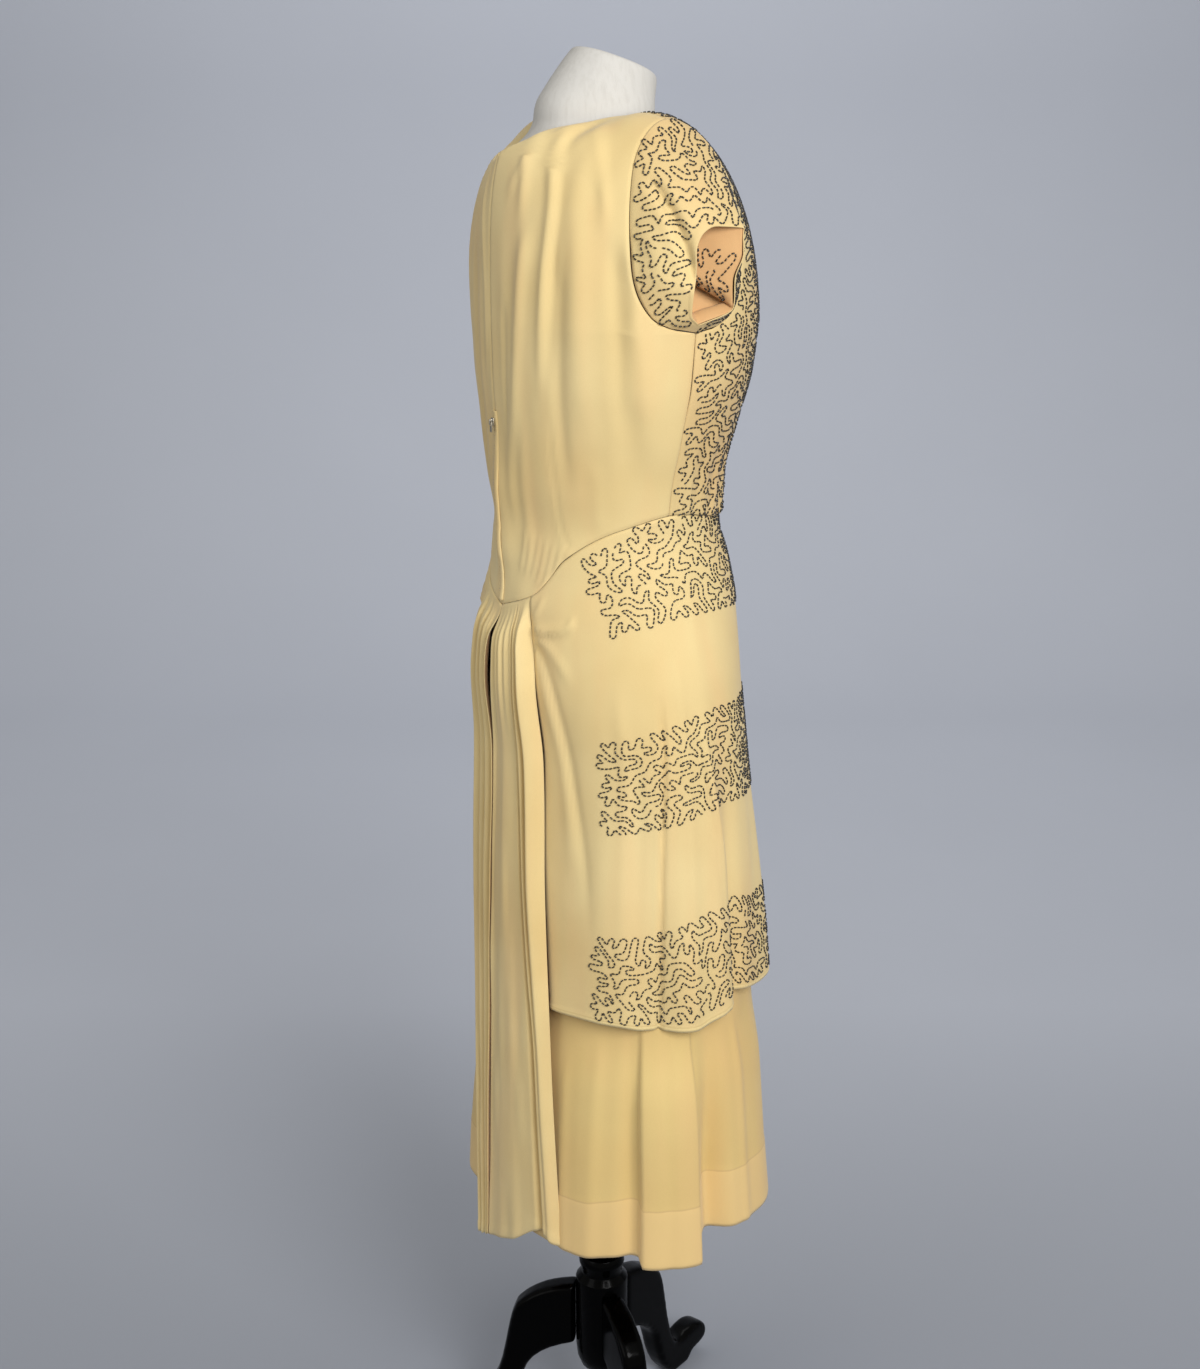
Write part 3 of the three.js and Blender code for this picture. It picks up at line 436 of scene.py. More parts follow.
class Recipe:
    def __init__(self, name):
        self.material = bpy.data.materials.new(name)
        self.material.use_nodes = True
        self.tree = self.material.node_tree
        self.shader = self.tree.nodes["Principled BSDF"]

    def node(self, kind, settings=None, *values, out=0, **named):
        made = self.tree.nodes.new(kind)
        for name, value in (settings or {}).items():
            setattr(made, name, value)
        for place, value in [*enumerate(values), *named.items()]:
            self.feed(made.inputs[place], value)
        return Value(self, made.outputs[out])

    def feed(self, socket, value):
        if isinstance(value, Value):
            self.tree.links.new(value.socket, socket)
        else:
            socket.default_value = value

    def set(self, **values):
        for name, value in values.items():
            self.feed(self.shader.inputs[name.replace("_", " ")], value)

    def noise(self, scale, detail=2.0, rough=0.5, where=None):
        where = where or self.node("ShaderNodeTexCoord", out="Object")
        return self.node("ShaderNodeTexNoise", None, where, Scale=scale, Detail=detail, Roughness=rough)

    def stretched(self, x, y, z):
        where = self.node("ShaderNodeTexCoord", out="Object")
        return self.node("ShaderNodeMapping", None, where, Scale=(x, y, z))

    def blend(self, factor, a, b, how="MIX"):
        made = self.tree.nodes.new("ShaderNodeMix")
        made.data_type = "RGBA"
        made.blend_type = how
        self.feed(made.inputs[0], factor)
        self.feed(made.inputs[6], a)
        self.feed(made.inputs[7], b)
        return Value(self, made.outputs[2])

    def ramp(self, value, low, high):
        settings = {"clamp": True}
        return self.node("ShaderNodeMapRange", settings, value, low, high, 0.0, 1.0)

    def bump(self, height, strength, distance, under=None):
        made = self.node("ShaderNodeBump", None, Strength=strength, Distance=distance, Height=height)
        if under:
            self.tree.links.new(under.socket, made.socket.node.inputs["Normal"])
        return made


def shade(hexColour):  # sRGB hex to the linear colour that shaders use
    channels = [int(hexColour[i : i + 2], 16) / 255 for i in (0, 2, 4)]
    return (*(c / 12.92 if c < 0.04045 else ((c + 0.055) / 1.055) ** 2.4 for c in channels), 1.0)


crepeSet = {  # each cloth's light and deep colour, and each hem's width in m and colour; all are one crepe, and the colours for the beaded pieces, the underskirt and the inner faces are darker copies of it: painted shade
    "plain": ("F0D99F", "E2C78B"),
    # painted shade: the beaded pieces get a slightly darker copy of the crepe
    "beaded": ("EBD498", "DBBC84"),
    # painted shade: the underskirt gets a darker copy of the crepe for the dimmer light low down; its pale
    # hem band is its own
    "shadedHemmed": ("E6CA87", "DDBC7A"),
    # painted shade: a darker peach copy of the crepe for inner faces and the cloth seen inside the sleeves,
    # standing for shade and light bounced inside
    "shadedInside": ("DDAE78", "D2A672"),
    "underHem": (0.065, "EFCC8F"),
    "tunicHem": (0.006, "F6DE9E"),
    "peach": "EDC088",
    "fleck": "B28F55",
    "stitches": "A98552",
    "crinkle": 1500,
    "grain": (3800, 3800, 1300),
}


def makeCrepe(name, kind, hem=None):
    light, deep = crepeSet[kind]
    recipe = Recipe(name)
    blotch = recipe.ramp(recipe.noise(5.0, 3.0), 0.35, 0.65)
    streak = recipe.noise(1.0, 2.0, where=recipe.stretched(26, 26, 3.5))
    colour = recipe.blend(blotch, shade(light), shade(deep))
    colour = recipe.blend(recipe.ramp(streak, 0.45, 0.8) * 0.35, colour, shade(crepeSet["peach"]))
    crinkle = recipe.noise(crepeSet["crinkle"], 3.0, 0.65)
    colour = recipe.blend(recipe.ramp(crinkle, 0.3, 0.75) * 0.16, colour, shade(crepeSet["fleck"]))
    if hem:
        hemWidth, hemColour = crepeSet[hem]
        cut = recipe.node("ShaderNodeUVMap", {"uv_map": "cut"})
        up = recipe.node("ShaderNodeSeparateXYZ", None, cut, out="Y")
        ragged = up + (recipe.noise(60.0) - 0.5) * 0.0015
        inside = 1 - recipe.ramp(ragged, hemWidth - 0.0006, hemWidth + 0.0006)
        line = inside * recipe.ramp(ragged, hemWidth - 0.0022, hemWidth - 0.0012)
        colour = recipe.blend(inside * 0.55, colour, shade(hemColour))
        colour = recipe.blend(line * 0.3, colour, shade(crepeSet["stitches"]))
    grain = recipe.noise(1.0, 1.0, where=recipe.stretched(*crepeSet["grain"]))
    rough = recipe.bump(crinkle, 0.28, 0.0006)
    weave = recipe.bump(grain, 0.15, 0.0003, rough)
    recipe.set(Base_Color=colour, Roughness=0.7, Normal=weave, Sheen_Weight=0.18, Sheen_Roughness=0.5)
    recipe.set(Specular_IOR_Level=0.25)
    return recipe.material


def makeLinen():
    recipe = Recipe("linen cover")
    weave = recipe.noise(1.0, 2.0, 0.6, recipe.stretched(1600, 1600, 600))
    cross = recipe.noise(1.0, 2.0, 0.6, recipe.stretched(500, 500, 1900))
    slub = recipe.ramp(recipe.noise(1.0, 3.0, 0.6, recipe.stretched(240, 240, 20)), 0.45, 0.8)
    colour = recipe.blend(slub * 0.5, shade("D2CFC9"), shade("BDB9B1"))
    colour = recipe.blend(recipe.ramp(recipe.noise(4.0, 3.0), 0.4, 0.7) * 0.3, colour, shade("C4C2BE"))
    recipe.set(Base_Color=colour, Roughness=0.9, Normal=recipe.bump(weave + cross, 0.3, 0.0005))
    return recipe.material


def makeLacquer():
    recipe = Recipe("black lacquer")
    wear = recipe.ramp(recipe.noise(35.0, 4.0, 0.6), 0.55, 0.8)
    grain = recipe.noise(1.0, 3.0, 0.6, recipe.stretched(60, 60, 12))
    recipe.set(Base_Color=recipe.blend(wear * 0.4, shade("010101"), shade("060505")))
    recipe.set(Roughness=wear * 0.15 + 0.2, Specular_IOR_Level=0.05, Coat_Weight=0.03, Coat_Roughness=0.06)
    recipe.set(Normal=recipe.bump(grain, 0.06, 0.001))
    return recipe.material


def makeMetal():
    recipe = Recipe("zip metal")
    dull = recipe.noise(900.0, 3.0, 0.6)
    recipe.set(Base_Color=recipe.blend(recipe.ramp(dull, 0.4, 0.7), shade("C9C3B4"), shade("8F877A")))
    recipe.set(Metallic=1.0, Roughness=dull * 0.3 + 0.22, Normal=recipe.bump(dull, 0.1, 0.0002))
    return recipe.material


def makeBeadGlass():
    recipe = Recipe("bead glass")
    tint = recipe.ramp(recipe.noise(140.0, 2.0), 0.4, 0.7)
    recipe.set(Base_Color=recipe.blend(tint, shade("070605"), shade("1C1610")))
    recipe.set(Roughness=tint * 0.12 + 0.2, Coat_Weight=0.6, Coat_Roughness=0.05)
    return recipe.material


def makeThread():
    recipe = Recipe("thread")
    ply = recipe.noise(4000.0, 1.0)
    recipe.set(Base_Color=recipe.blend(ply, shade("EAD6A6"), shade("CDB27C")), Roughness=0.8)
    recipe.set(Normal=recipe.bump(ply, 0.3, 0.0002))
    return recipe.material


crepe = makeCrepe("crepe", "plain")
# painted shade: a slightly darker copy of the crepe for the beaded front and sleeves
shadedBeadedCrepe = makeCrepe("beaded crepe", "beaded")
# painted shade: the underskirt's crepe is a darker copy, for the dimmer light low down
shadedHemmedCrepe = makeCrepe("hemmed crepe", "shadedHemmed", "underHem")
tunicCrepe = makeCrepe("tunic crepe", "plain", "tunicHem")
# painted shade: the darker peach copy of the crepe, for inner faces and the cloth inside the sleeves
shadedInsideCrepe = makeCrepe("lining side", "shadedInside")
linen = makeLinen()
lacquer = makeLacquer()
metal = makeMetal()
beadGlass = makeBeadGlass()
thread = makeThread()
print("materials made")


# bodice backs
backSet = {
    "columns": 92, "lowRows": 84, "highRows": 64, "seamGap": 0.15,
    "ripple": 0.7, "rippleWide": 16, "rippleLong": 90, "pressed": 9,  # mm; pressed flat beside the zip
}
backFolds = foldsOf(
    [
        fold(0, 9, 9, 1200, 1110, to=1024),
        fold(9, 3, 1.6, 1420, 1300, to=1080, drift=0.3),
        fold(19, 3, 1.4, 1470, 1330, to=1050, drift=-0.4),
        fold(62, 5, 1.6, 1350, 1250, to=1110, drift=-0.5),
    ]
)
rightBackCreases = [  # mm from the centre back, and height
    crease([(50, 1488), (66, 1472), (81, 1429), (85, 1388), (83, 1339), (78, 1268), (74, 1213)],
           5.5, 3.4, -4.6, start=0.1, end=0.4),
    crease([(60, 1489), (95, 1462), (104, 1416), (116, 1341), (115, 1236), (108, 1150)],
           11, 3.4, -2.4, start=0.15),
    crease([(70, 1489), (99, 1468), (122, 1424), (130, 1380)], 5, 1.8, -1.8),
    crease([(40, 1484), (46, 1462), (52, 1430), (52, 1390)], 6, 1.8, -1.6),
    crease([(52, 1462), (40, 1440), (28, 1418)], 5, 1.6, -1.4),
    crease([(143, 1400), (150, 1363), (154, 1329), (154, 1258), (142, 1190), (128, 1124)],
           6, 3.6, -4.2),
    crease([(134, 1390), (140, 1340), (143, 1280), (136, 1200), (124, 1140)], 6, -3.0),
    crease([(64, 1400), (55, 1337), (42, 1228), (26, 1150)], 8, 3.2, -2.4),
    crease([(98, 1370), (98, 1300), (92, 1200), (88, 1130)], 7, -2.6, 1.8),
    crease([(88, 1400), (90, 1320), (84, 1240)], 5, -1.8, 1.2),
    crease([(30, 1330), (27, 1250), (22, 1170)], 5, -1.8, 1.2),
    crease([(112, 1180), (106, 1130), (102, 1100)], 5, 1.2),
]
leftBackCreases = [
    crease([(50, 1488), (62, 1470), (74, 1425), (76, 1380), (70, 1300), (64, 1220)],
           7, 2.4, -2.2, start=0.1, end=0.4),
    crease([(28, 1455), (12, 1332), (16, 1220)], 5, 1.4, -1.0),
    crease([(62, 1489), (98, 1460), (108, 1410), (118, 1330), (114, 1230), (104, 1150)],
           13, 2.6, -1.2),
    crease([(146, 1400), (152, 1350), (152, 1270), (138, 1180), (126, 1130)], 6, 2.6, -2.0),
    crease([(40, 1380), (40, 1300), (34, 1220), (28, 1160)], 9, -1.6),
]
dartCrease = crease([(80, 1222), (76, 1180), (75, 1138), (75, 1107), (84, 1082)],
                    1.8, -0.7, -0.9, start=0.1, end=0.1)
waistPuckers = [
    crease([(a + 6, 1108 - 0.2 * a), (a + 2, 1084 - 0.3 * a), (a - 3, 1062 - 0.35 * a)], 2.6, 0.9)
    for a in range(30, 96, 8)
]
backCreases = {"right": rightBackCreases, "left": leftBackCreases}


def backGrid(name):
    q = spread(backSet["columns"], 0.08)[None, :]
    turn = np.clip(90 * q, 0.02, 89.98)
    h = spread(backSet["lowRows"])[:, None]
    foot = basque(turn) + backSet["seamGap"]
    height = mix(foot, bustHeight, h)
    out, shift = backFolds(turn, height)
    low = bodyPoint(turn + shift, height, out)
    climb = topClimb * spread(backSet["highRows"], 0.05)[1:, None]
    near = np.maximum(neckline["backLeft" if name == "left" else "back"](climb), 0.05)
    reach = mix(near, armhole["back"](climb), mix(np.sin(np.radians(90 * q)), q, climb / 90))
    grid = np.vstack([low, shoulderPoint("back", reach, climb, name == "left")])
    relief = creaseRelief(backCreases[name] + waistPuckers + [dartCrease], -grid[..., 0], grid[..., 2])
    turnHigh = np.degrees(np.arcsin(np.clip(reach / bustHalfWidth, 0, 1)))
    runOn = backFolds(turnHigh, np.maximum(grid[backSet["lowRows"] :, :, 2], bustHeight))[0]
    relief[backSet["lowRows"] :] += runOn * (1 - smooth(climb, 20, 50))
    x, z = grid[..., 0], grid[..., 2]
    swell = wander(x / backSet["rippleWide"], z / backSet["rippleLong"], 5 if name == "right" else 6)
    relief += backSet["ripple"] * swell
    relief *= 1 - 0.9 * np.exp(-((x / backSet["pressed"]) ** 2)) * smooth(z, 1180, 1040)
    relief += seamDip(grid, ["bottom", "first", "last", "top"])
    grid = grid + normalsOf(grid) * relief[..., None]
    if name == "left":
        grid = grid * np.array([-1, 1, 1])
    return grid


def makeBodiceBacks():
    for name in ("right", "left"):
        grid = backGrid(name)
        grids = [(grid, flatten(grid))]
        piece = sew(f"bodiceBack{name.title()}", grids, crepe, shadedInside=shadedInsideCrepe)
        keepCloth(piece, grids, "stretched", ["linenForm"], f"bodice_back_{name}", "crepe")


# bodice front
frontSet = {
    "columns": 84, "lowRows": 70, "highRows": 60, "seamGap": 0.15,
    "ripple": 0.8, "rippleWide": 18, "rippleLong": 70,
}


def gatherList():
    rng = random.Random(11)
    folds = []
    for i, at in enumerate((100, 112, 124, 136, 148, 160, 172)):
        folds.append(fold(at, 3.4, 2.2 + (i % 3) * 0.5, 1236 + (i % 2) * 26, 1130))
    for at in np.arange(96, 180, 4.4):
        place, width, depth = at + rng.uniform(-1, 1), rng.uniform(1.0, 1.5), rng.uniform(0.8, 1.7)
        start, drift = rng.uniform(1165, 1215), rng.uniform(-0.6, 0.6)
        folds.append(fold(place, width, depth, start, 1118, drift=drift))
    return folds


frontFolds = foldsOf(gatherList())


def frontGrid(slipped):
    q = spread(frontSet["columns"], 0.04)[None, :]
    turn = 180 - np.clip(90 * q, 0, 89.98)
    h = spread(frontSet["lowRows"])[:, None]
    height = mix(basque(turn) + frontSet["seamGap"], bustHeight, h)
    out, shift = frontFolds(turn, height)
    low = bodyPoint(turn + shift, height, out)
    climb = topClimb * spread(frontSet["highRows"], 0.05)[1:, None]
    near = neckline["front"](climb)
    reach = mix(near, armhole["front"](climb), mix(np.sin(np.radians(90 * q)), q, climb / 90))
    grid = np.vstack([low, shoulderPoint("front", reach, climb, slipped)])
    across, up = np.abs(grid[..., 0]) / frontSet["rippleWide"], grid[..., 2] / frontSet["rippleLong"]
    relief = frontSet["ripple"] * wander(across, up, 9)
    relief += seamDip(grid, ["bottom", "last", "top"])
    grid = grid + normalsOf(grid) * relief[..., None]
    grid[: frontSet["lowRows"], 0, 0] = 0
    closed = np.nonzero(neckline["front"](climb[:, 0]) <= 0)[0]
    grid[frontSet["lowRows"] + closed, 0, 0] = 0
    return grid


def makeBodiceFront():
    right = frontGrid(False)
    cut = flatten(right)
    climb = topClimb * spread(frontSet["highRows"], 0.05)[1:]
    cut[frontSet["lowRows"] :, :, 0] += neckline["front"](climb)[:, None]
    left = frontGrid(True) * np.array([-1, 1, 1])
    grids = [(right, cut), (left, cut * np.array([-1, 1]))]
    piece = sew("bodiceFront", grids, shadedBeadedCrepe, shadedInside=shadedInsideCrepe)
    keepCloth(piece, grids, "gathered", ["linenForm"], "bodice_front", "beaded_crepe")
    return grids


# cap sleeves
hemSet = {
    "at": [0, 0.08, 0.2, 0.33, 0.42, 0.5, 0.6, 0.7, 0.8, 0.9, 1],
    "out": [178, 181, 190, 192, 193, 194, 195, 195, 190, 186, 178],
    "ahead": [6, -3, -6, -6, -1, 13, 42, 42, 36, 38, 6],
    "height": [1309, 1318, 1344, 1374, 1390, 1398, 1395, 1374, 1350, 1324, 1309],
}
sleeveSet = {
    "climbs": 46, "rows": 34, "seamGap": 0.3, "crown": 7, "crownLean": -0.55, "ripple": 0.8,
    "hemShare": 0.94, "hemDeep": 0.6, "heartFrom": 118, "heartLong": 85, "heartEnd": (-22, 1355),
}
sleeveHem = curvesOf(hemSet)
sleeveCreases = [  # mm behind the pole, and height
    crease([(34, 1442), (27, 1425), (21, 1405), (17, 1385), (11, 1362), (6, 1340)],
           5, -7.0, 4.0, start=0.15, end=0.1),
    crease([(42, 1400), (36, 1380), (30, 1355), (22, 1330)], 7, 1.8),
    crease([(-8, 1462), (-2, 1440), (2, 1418)], 6, 1.6, 1.0),
]


def sleeveGrid(slipped):
    climbs = topClimb * spread(sleeveSet["climbs"], 0.02)[1:]
    back = shoulderPoint("back", armhole["back"](climbs), climbs, slipped)
    front = shoulderPoint("front", armhole["front"](climbs), climbs, slipped)[:-1][::-1]
    under = bodyPoint(90, bustHeight)[None, :]
    loop = np.vstack([under, back, front])
    around = np.linalg.norm(np.diff(np.vstack([loop, under]), axis=0), axis=1)
    at = np.concatenate([[0], np.cumsum(around)[:-1]]) / around.sum()
    end = np.stack([-sleeveHem["out"](at), -sleeveHem["ahead"](at), sleeveHem["height"](at)], axis=1)
    heart = loop.mean(axis=0)
    lift = loop - heart
    lift[:, 0] = 0
    lift /= np.linalg.norm(lift, axis=1, keepdims=True)
    lift[:, 0] = sleeveSet["crownLean"]
    crown = sleeveSet["crown"] * np.sin(np.pi * at) * (1 - smooth(at, 0.35, 0.6))
    w = spread(sleeveSet["rows"], 0.07)[:, None, None]
    grid = mix(loop, end, w) + lift * (crown[:, None] * np.sin(np.pi * w))
    outward = (end - loop) / np.linalg.norm(end - loop, axis=1, keepdims=True)
    grid = grid + outward * sleeveSet["seamGap"] * (1 - w)
    core = sleeveCore(heart)
    wrapped = np.concatenate([grid[:, -1:], grid, grid[:, :1]], axis=1)
    normals = normalsOf(wrapped, core)[:, 1:-1]
    relief = creaseRelief(sleeveCreases, grid[..., 1], grid[..., 2])
    down = w[..., 0]
    relief += sleeveSet["ripple"] * wander(at[None, :] * 22, down * 2.5, 21)
    relief *= smooth(down, 0, 0.2)
    relief = relief - 0.8 * np.exp(-((down * 60 / 2.2) ** 2))  # turned in where it joins the armhole
    hemShare = sleeveSet["hemShare"]
    relief = relief + sleeveSet["hemDeep"] * smooth(down, hemShare - 0.01, hemShare + 0.01)
    grid = grid + normals * relief[..., None]
    far = np.linalg.norm(end - loop, axis=1)
    spokes = loop[:, 1:] - end[:, 1:]
    spokes = spokes / np.linalg.norm(spokes, axis=1, keepdims=True)
    cut = end[None, :, 1:] + spokes[None] * (far[:, None] * (1 - w))
    return grid[::-1], cut[::-1], core


def sleeveCore(heart):  # the line down the middle of a sleeve, from the armhole's middle to its mouth's
    def core(points):
        w = (np.abs(points[..., 0]) - sleeveSet["heartFrom"]) / sleeveSet["heartLong"]
        inside = points.copy()
        inside[..., 1] = mix(heart[1], sleeveSet["heartEnd"][0], w)
        inside[..., 2] = mix(heart[2], sleeveSet["heartEnd"][1], w)
        return inside

    return core


def makeSleeves():
    made = {}
    for name, side in (("right", 1), ("left", -1)):
        grid, cut, core = sleeveGrid(name == "left")
        turned = grid * np.array([side, 1, 1])
        grids = [(turned, cut * np.array([side, 1]))]
        label = f"sleeve{name.title()}"
        piece = sew(label, grids, shadedBeadedCrepe, core=core, closed=True, shadedInside=shadedInsideCrepe)
        keepCloth(piece, grids, "draped", ["linenForm"], f"sleeve_{name}", "beaded_crepe")
        made[name] = (grids, core)
    return made


# what shows inside each sleeve: a flap of the front that folds in against the form, and the underarm's
# fold; both take the darker peach crepe as painted shade
flapSet = {
    "rows": 30, "columns": 34, "inside": 0.7, "frontAt": [0.52, 0.9], "inner": (-151, 19),
    "innerHeight": [1362, 1414], "bulge": 5.5, "ripple": 1.1, "curl": 7, "curlShare": 0.07,
    "beadedTo": 0.64,
}
foldSet = {
    "rows": 22, "columns": 34, "at": [0.885, 1.1], "ripple": 0.8,
    "inward": [0.6, 5, 11, 15, 16, 20, 25], "up": [0.5, 6, 9.5, 8, 7, 18, 38],
}


def hemPoint(at):
    at = at % 1
    return np.stack([-sleeveHem["out"](at), -sleeveHem["ahead"](at), sleeveHem["height"](at)], axis=-1)


def flapGrid():
    u = np.linspace(0, 1, flapSet["columns"])[None, :]
    v = np.linspace(0, 1, flapSet["rows"])[:, None]
    high, low = flapSet["frontAt"]
    edge = hemPoint(mix(low, high, v)) + np.array([flapSet["inside"] * 1.6, flapSet["inside"], 0])
    inner = np.stack(np.broadcast_arrays(*flapSet["inner"], mix(*flapSet["innerHeight"], v)), axis=-1)
    grid = mix(edge, inner, u[..., None])
    bulge = flapSet["bulge"] * np.sin(np.pi * u) * (1 - 0.5 * v)
    bulge = bulge + flapSet["ripple"] * wander(u * 4, v * 4, 91)
    curl = flapSet["curl"] * np.exp(-((v / flapSet["curlShare"]) ** 2)) * smooth(u, 0, 0.15)
    relief = bulge * smooth(u, 0, 0.1) - curl
    return grid + np.array([-0.8, 0.6, 0]) * relief[..., None]


def underarmGrid():
    at = np.linspace(*foldSet["at"], foldSet["columns"])[None, :]
    t = np.linspace(0, 1, foldSet["rows"])[:, None]
    keys = np.linspace(0, 1, len(foldSet["inward"]))
    inward = curve(keys, foldSet["inward"])(t)
    up = curve(keys, foldSet["up"])(t)
    s = (at - foldSet["at"][0]) / (foldSet["at"][1] - foldSet["at"][0])
    middle = np.sin(np.pi * np.clip(s, 0, 1))
    edge = hemPoint(at) + 0 * t[..., None]
    along, rise = 4 * (0.5 - s) * t, up * (0.35 + 0.65 * middle)
    grid = edge + np.stack(np.broadcast_arrays(inward, along, rise), axis=-1)
    ripple = foldSet["ripple"] * wander(s * 5, t * 3, 92) * smooth(t, 0.1, 0.3)
    return grid + np.array([0, 0.3, 1]) * ripple[..., None]


def pocketCore(side):  # the cloth inside a sleeve faces out of its mouth
    def core(points):
        return points + np.array([40 * side, -30, -40])

    return core


def makeArmholes():
    made = {}
    for name, side in (("right", 1), ("left", -1)):
        core = pocketCore(side)
        for kind, grid in (("flap", flapGrid()), ("fold", underarmGrid())):
            turned = grid * np.array([side, 1, 1])
            grids = [(turned, flatten(turned) * np.array([side, 1]))]
            label = f"armhole{kind.title()}{name.title()}"
            # painted shade: the front's cloth seen inside the sleeve takes the darker peach crepe on both
            # faces
            piece = sew(label, grids, shadedInsideCrepe, thick=0.6, core=core, shadedInside=shadedInsideCrepe)
            keepCloth(piece, grids, "draped", ["linenForm"], None, "beaded_crepe")
            if kind == "flap":
                made[name] = (grids, core)
    return made


# pleated back drape
cascadeSet = {
    "height": [280, 560, 740, 900, 980, 1015, 1040],
    "right": [34.5, 28, 24, 22, 20.6, 19.5, 19.2857],
    "left": [9.5, 16, 20, 21.5, 20.6, 19.5, 19.2857],
    "lift": [7, 12, 13, 12, 9, 4, 0],
}
cascadeHemSet = {"across": [0, 0.4, 0.8, 1], "right": [298, 318, 346, 334], "left": [298, 290, 286, 288]}
pleatSet = {
    "columns": 130, "rows": 130, "top": cascadeSet["right"][-1], "gathers": 7, "gatherDeep": 1.3,
    "narrow": 0.025, "open": 3.2, "openAt": 950, "openLong": 52, "ripple": 0.9,
}
pleats = {  # across each panel: where a pleat lies at the top and at the hem, its width and height
    "right": [
        (0.0, 0.0, 0.035, 2.0), (0.3, 0.33, 0.2, 3.6), (0.625, 0.79, 0.026, -8.0), (0.68, 0.84, 0.024, 3.0),
        (0.73, 0.872, 0.014, -3.4), (0.85, 0.94, 0.06, 5.5), (1.0, 1.0, 0.05, -12.0),
    ],
    "left": [
        (0.0, 0.0, 0.05, 4.5), (0.16, 0.16, 0.03, -3.0), (0.27, 0.27, 0.06, 3.4), (0.4, 0.4, 0.03, -3.6),
        (0.52, 0.52, 0.06, 3.4), (0.66, 0.66, 0.03, -3.6), (0.8, 0.8, 0.07, 4.0), (1.0, 1.0, 0.05, -11.0),
    ],
}
cascade = curvesOf(cascadeSet)
cascadeHem = curvesOf(cascadeHemSet)


def pleatRelief(name, q, down):
    soft = smooth(down, 0.3, 1.0)
    gathers = pleatSet["gatherDeep"] * np.sin(2 * np.pi * pleatSet["gathers"] * q)
    relief = gathers * (1 - smooth(down, 0.04, 0.22))
    for high, low, width, tall in pleats[name]:
        narrow = width < pleatSet["narrow"]
        wide = width * mix(1, 2 if narrow else 1.35, soft)
        at = mix(high, low, smooth(down, 0.12, 0.8))
        relief = relief + tall * mix(1, 0.45 if narrow else 0.8, soft) * np.exp(-(((q - at) / wide) ** 2))
    return relief * smooth(down, 0, 0.07)


def cascadeGrid(name):
    q = spread(pleatSet["columns"], 0.03)[None, :]
    down = spread(pleatSet["rows"], 0.06)[::-1, None]
    topTurn = mix(0.1, pleatSet["top"] - 0.06, q)
    top = basque(topTurn) - 0.15
    height = mix(top, cascadeHem[name](q), down)
    above = (height - pleatSet["openAt"]) / pleatSet["openLong"]  # the two panels part a little at the back
    opening = 0.25 + pleatSet["open"] * np.exp(-(above**2))
    turn = mix(np.degrees(opening / 120), cascade[name](height), q)
    turn = mix(turn, topTurn, 1 - smooth(down, 0, 0.04))
    relief = (cascade["lift"](height) + 1) * smooth(down, 0, 0.045) + pleatRelief(name, q, down)
    grid = bodyPoint(turn, height, relief)
    soft = pleatSet["ripple"] * wander(q * 9, height / 80, 31 if name == "right" else 32)
    soft = soft * smooth(down, 0.05, 0.3)
    soft = soft + seamDip(grid, ["top"], 0.4) + hemRoll(grid, 0.5, 12)
    grid = grid + normalsOf(grid) * soft[..., None]
    return grid * np.array([1 if name == "right" else -1, 1, 1])


def makeCascade():
    for name in ("right", "left"):
        grid = cascadeGrid(name)
        grids = [(grid, flatten(grid))]
        piece = sew(f"pleatedDrape{name.title()}", grids, crepe, shadedInside=shadedInsideCrepe)
        keepCloth(piece, grids, "gathered", ["linenForm"], f"skirt_back_{name}", "crepe")


# tunic overskirt
arcMm = 2.9  # mm of cloth to a degree of turn near the hip
tunicSet = {"columns": 236, "rows": 104, "seamGap": 0.15, "start": 19.3457, "tuckDeep": 1.5, "tuckWide": 7}
tunicFolds = foldsOf(
    [
        fold(50, 9, 4, 1000, 650),
        fold(71, 6, -6, 900, 600),
        fold(86, 8, 6, 900, 600),
        fold(99, 4.5, 9, 980, 600, lean=2),
        fold(109, 5, -9, 980, 600),
        fold(138, 8, 6, 900, 620),
        fold(157, 7, -6, 960, 620),
        fold(178, 8, 6, 920, 620),
        fold(205, 7, -7, 940, 620),
        fold(222, 8, 6, 940, 620),
        fold(244, 5, -7, 960, 620),
        fold(258, 7, 8, 960, 620),
        fold(284, 7, -6, 900, 620),
        fold(304, 8, 5, 980, 660),
    ]
)
tunicCreases = [  # turn in degrees, and height
    crease([(22, 1002), (30, 1003), (37.9, 1008), (41.3, 1015), (42.5, 1026)],
           4.5, 3.4, 3.6, start=0.05),
    crease([(21, 983), (24.3, 979), (29.4, 945), (34.3, 865), (39.7, 786), (42.4, 724), (43, 640)],
           6, -2.6, -2.0, start=0.08, end=0.5),
    crease([(21, 1012), (25, 1024), (28, 1040)], 4, 1.4, 1.0),
    crease([(21.5, 993), (28, 988), (34, 972), (39, 950)], 6, 2.0, 1.4),
    crease([(24, 965), (29, 900), (33, 820), (35, 740)], 8, 1.8, 1.4),
    crease([(76, 960), (74.8, 888), (73.5, 815), (72.1, 676), (71.1, 590)], 4, -4.0, -3.6, end=0.02),
    crease([(58, 980), (58, 860), (57, 700), (57, 600)], 9, 1.5, end=0.05),
    crease([(64, 900), (64, 760), (63, 600)], 7, -1.3, end=0.05),
    crease([(84, 1000), (86, 900), (88, 760), (88, 600)], 8, 1.4, end=0.05),
    crease([(93, 930), (97, 850), (102, 730), (101, 590)], 6, 3.0, 5.0, end=0.02),
]
tunicHemSet = {
    "turn": [19, 44, 64, 83, 93, 105, 126, 180],
    "height": [600, 603, 598, 598, 608, 620, 611, 610],
}
tunicHem = curvesOf(tunicHemSet)["height"]


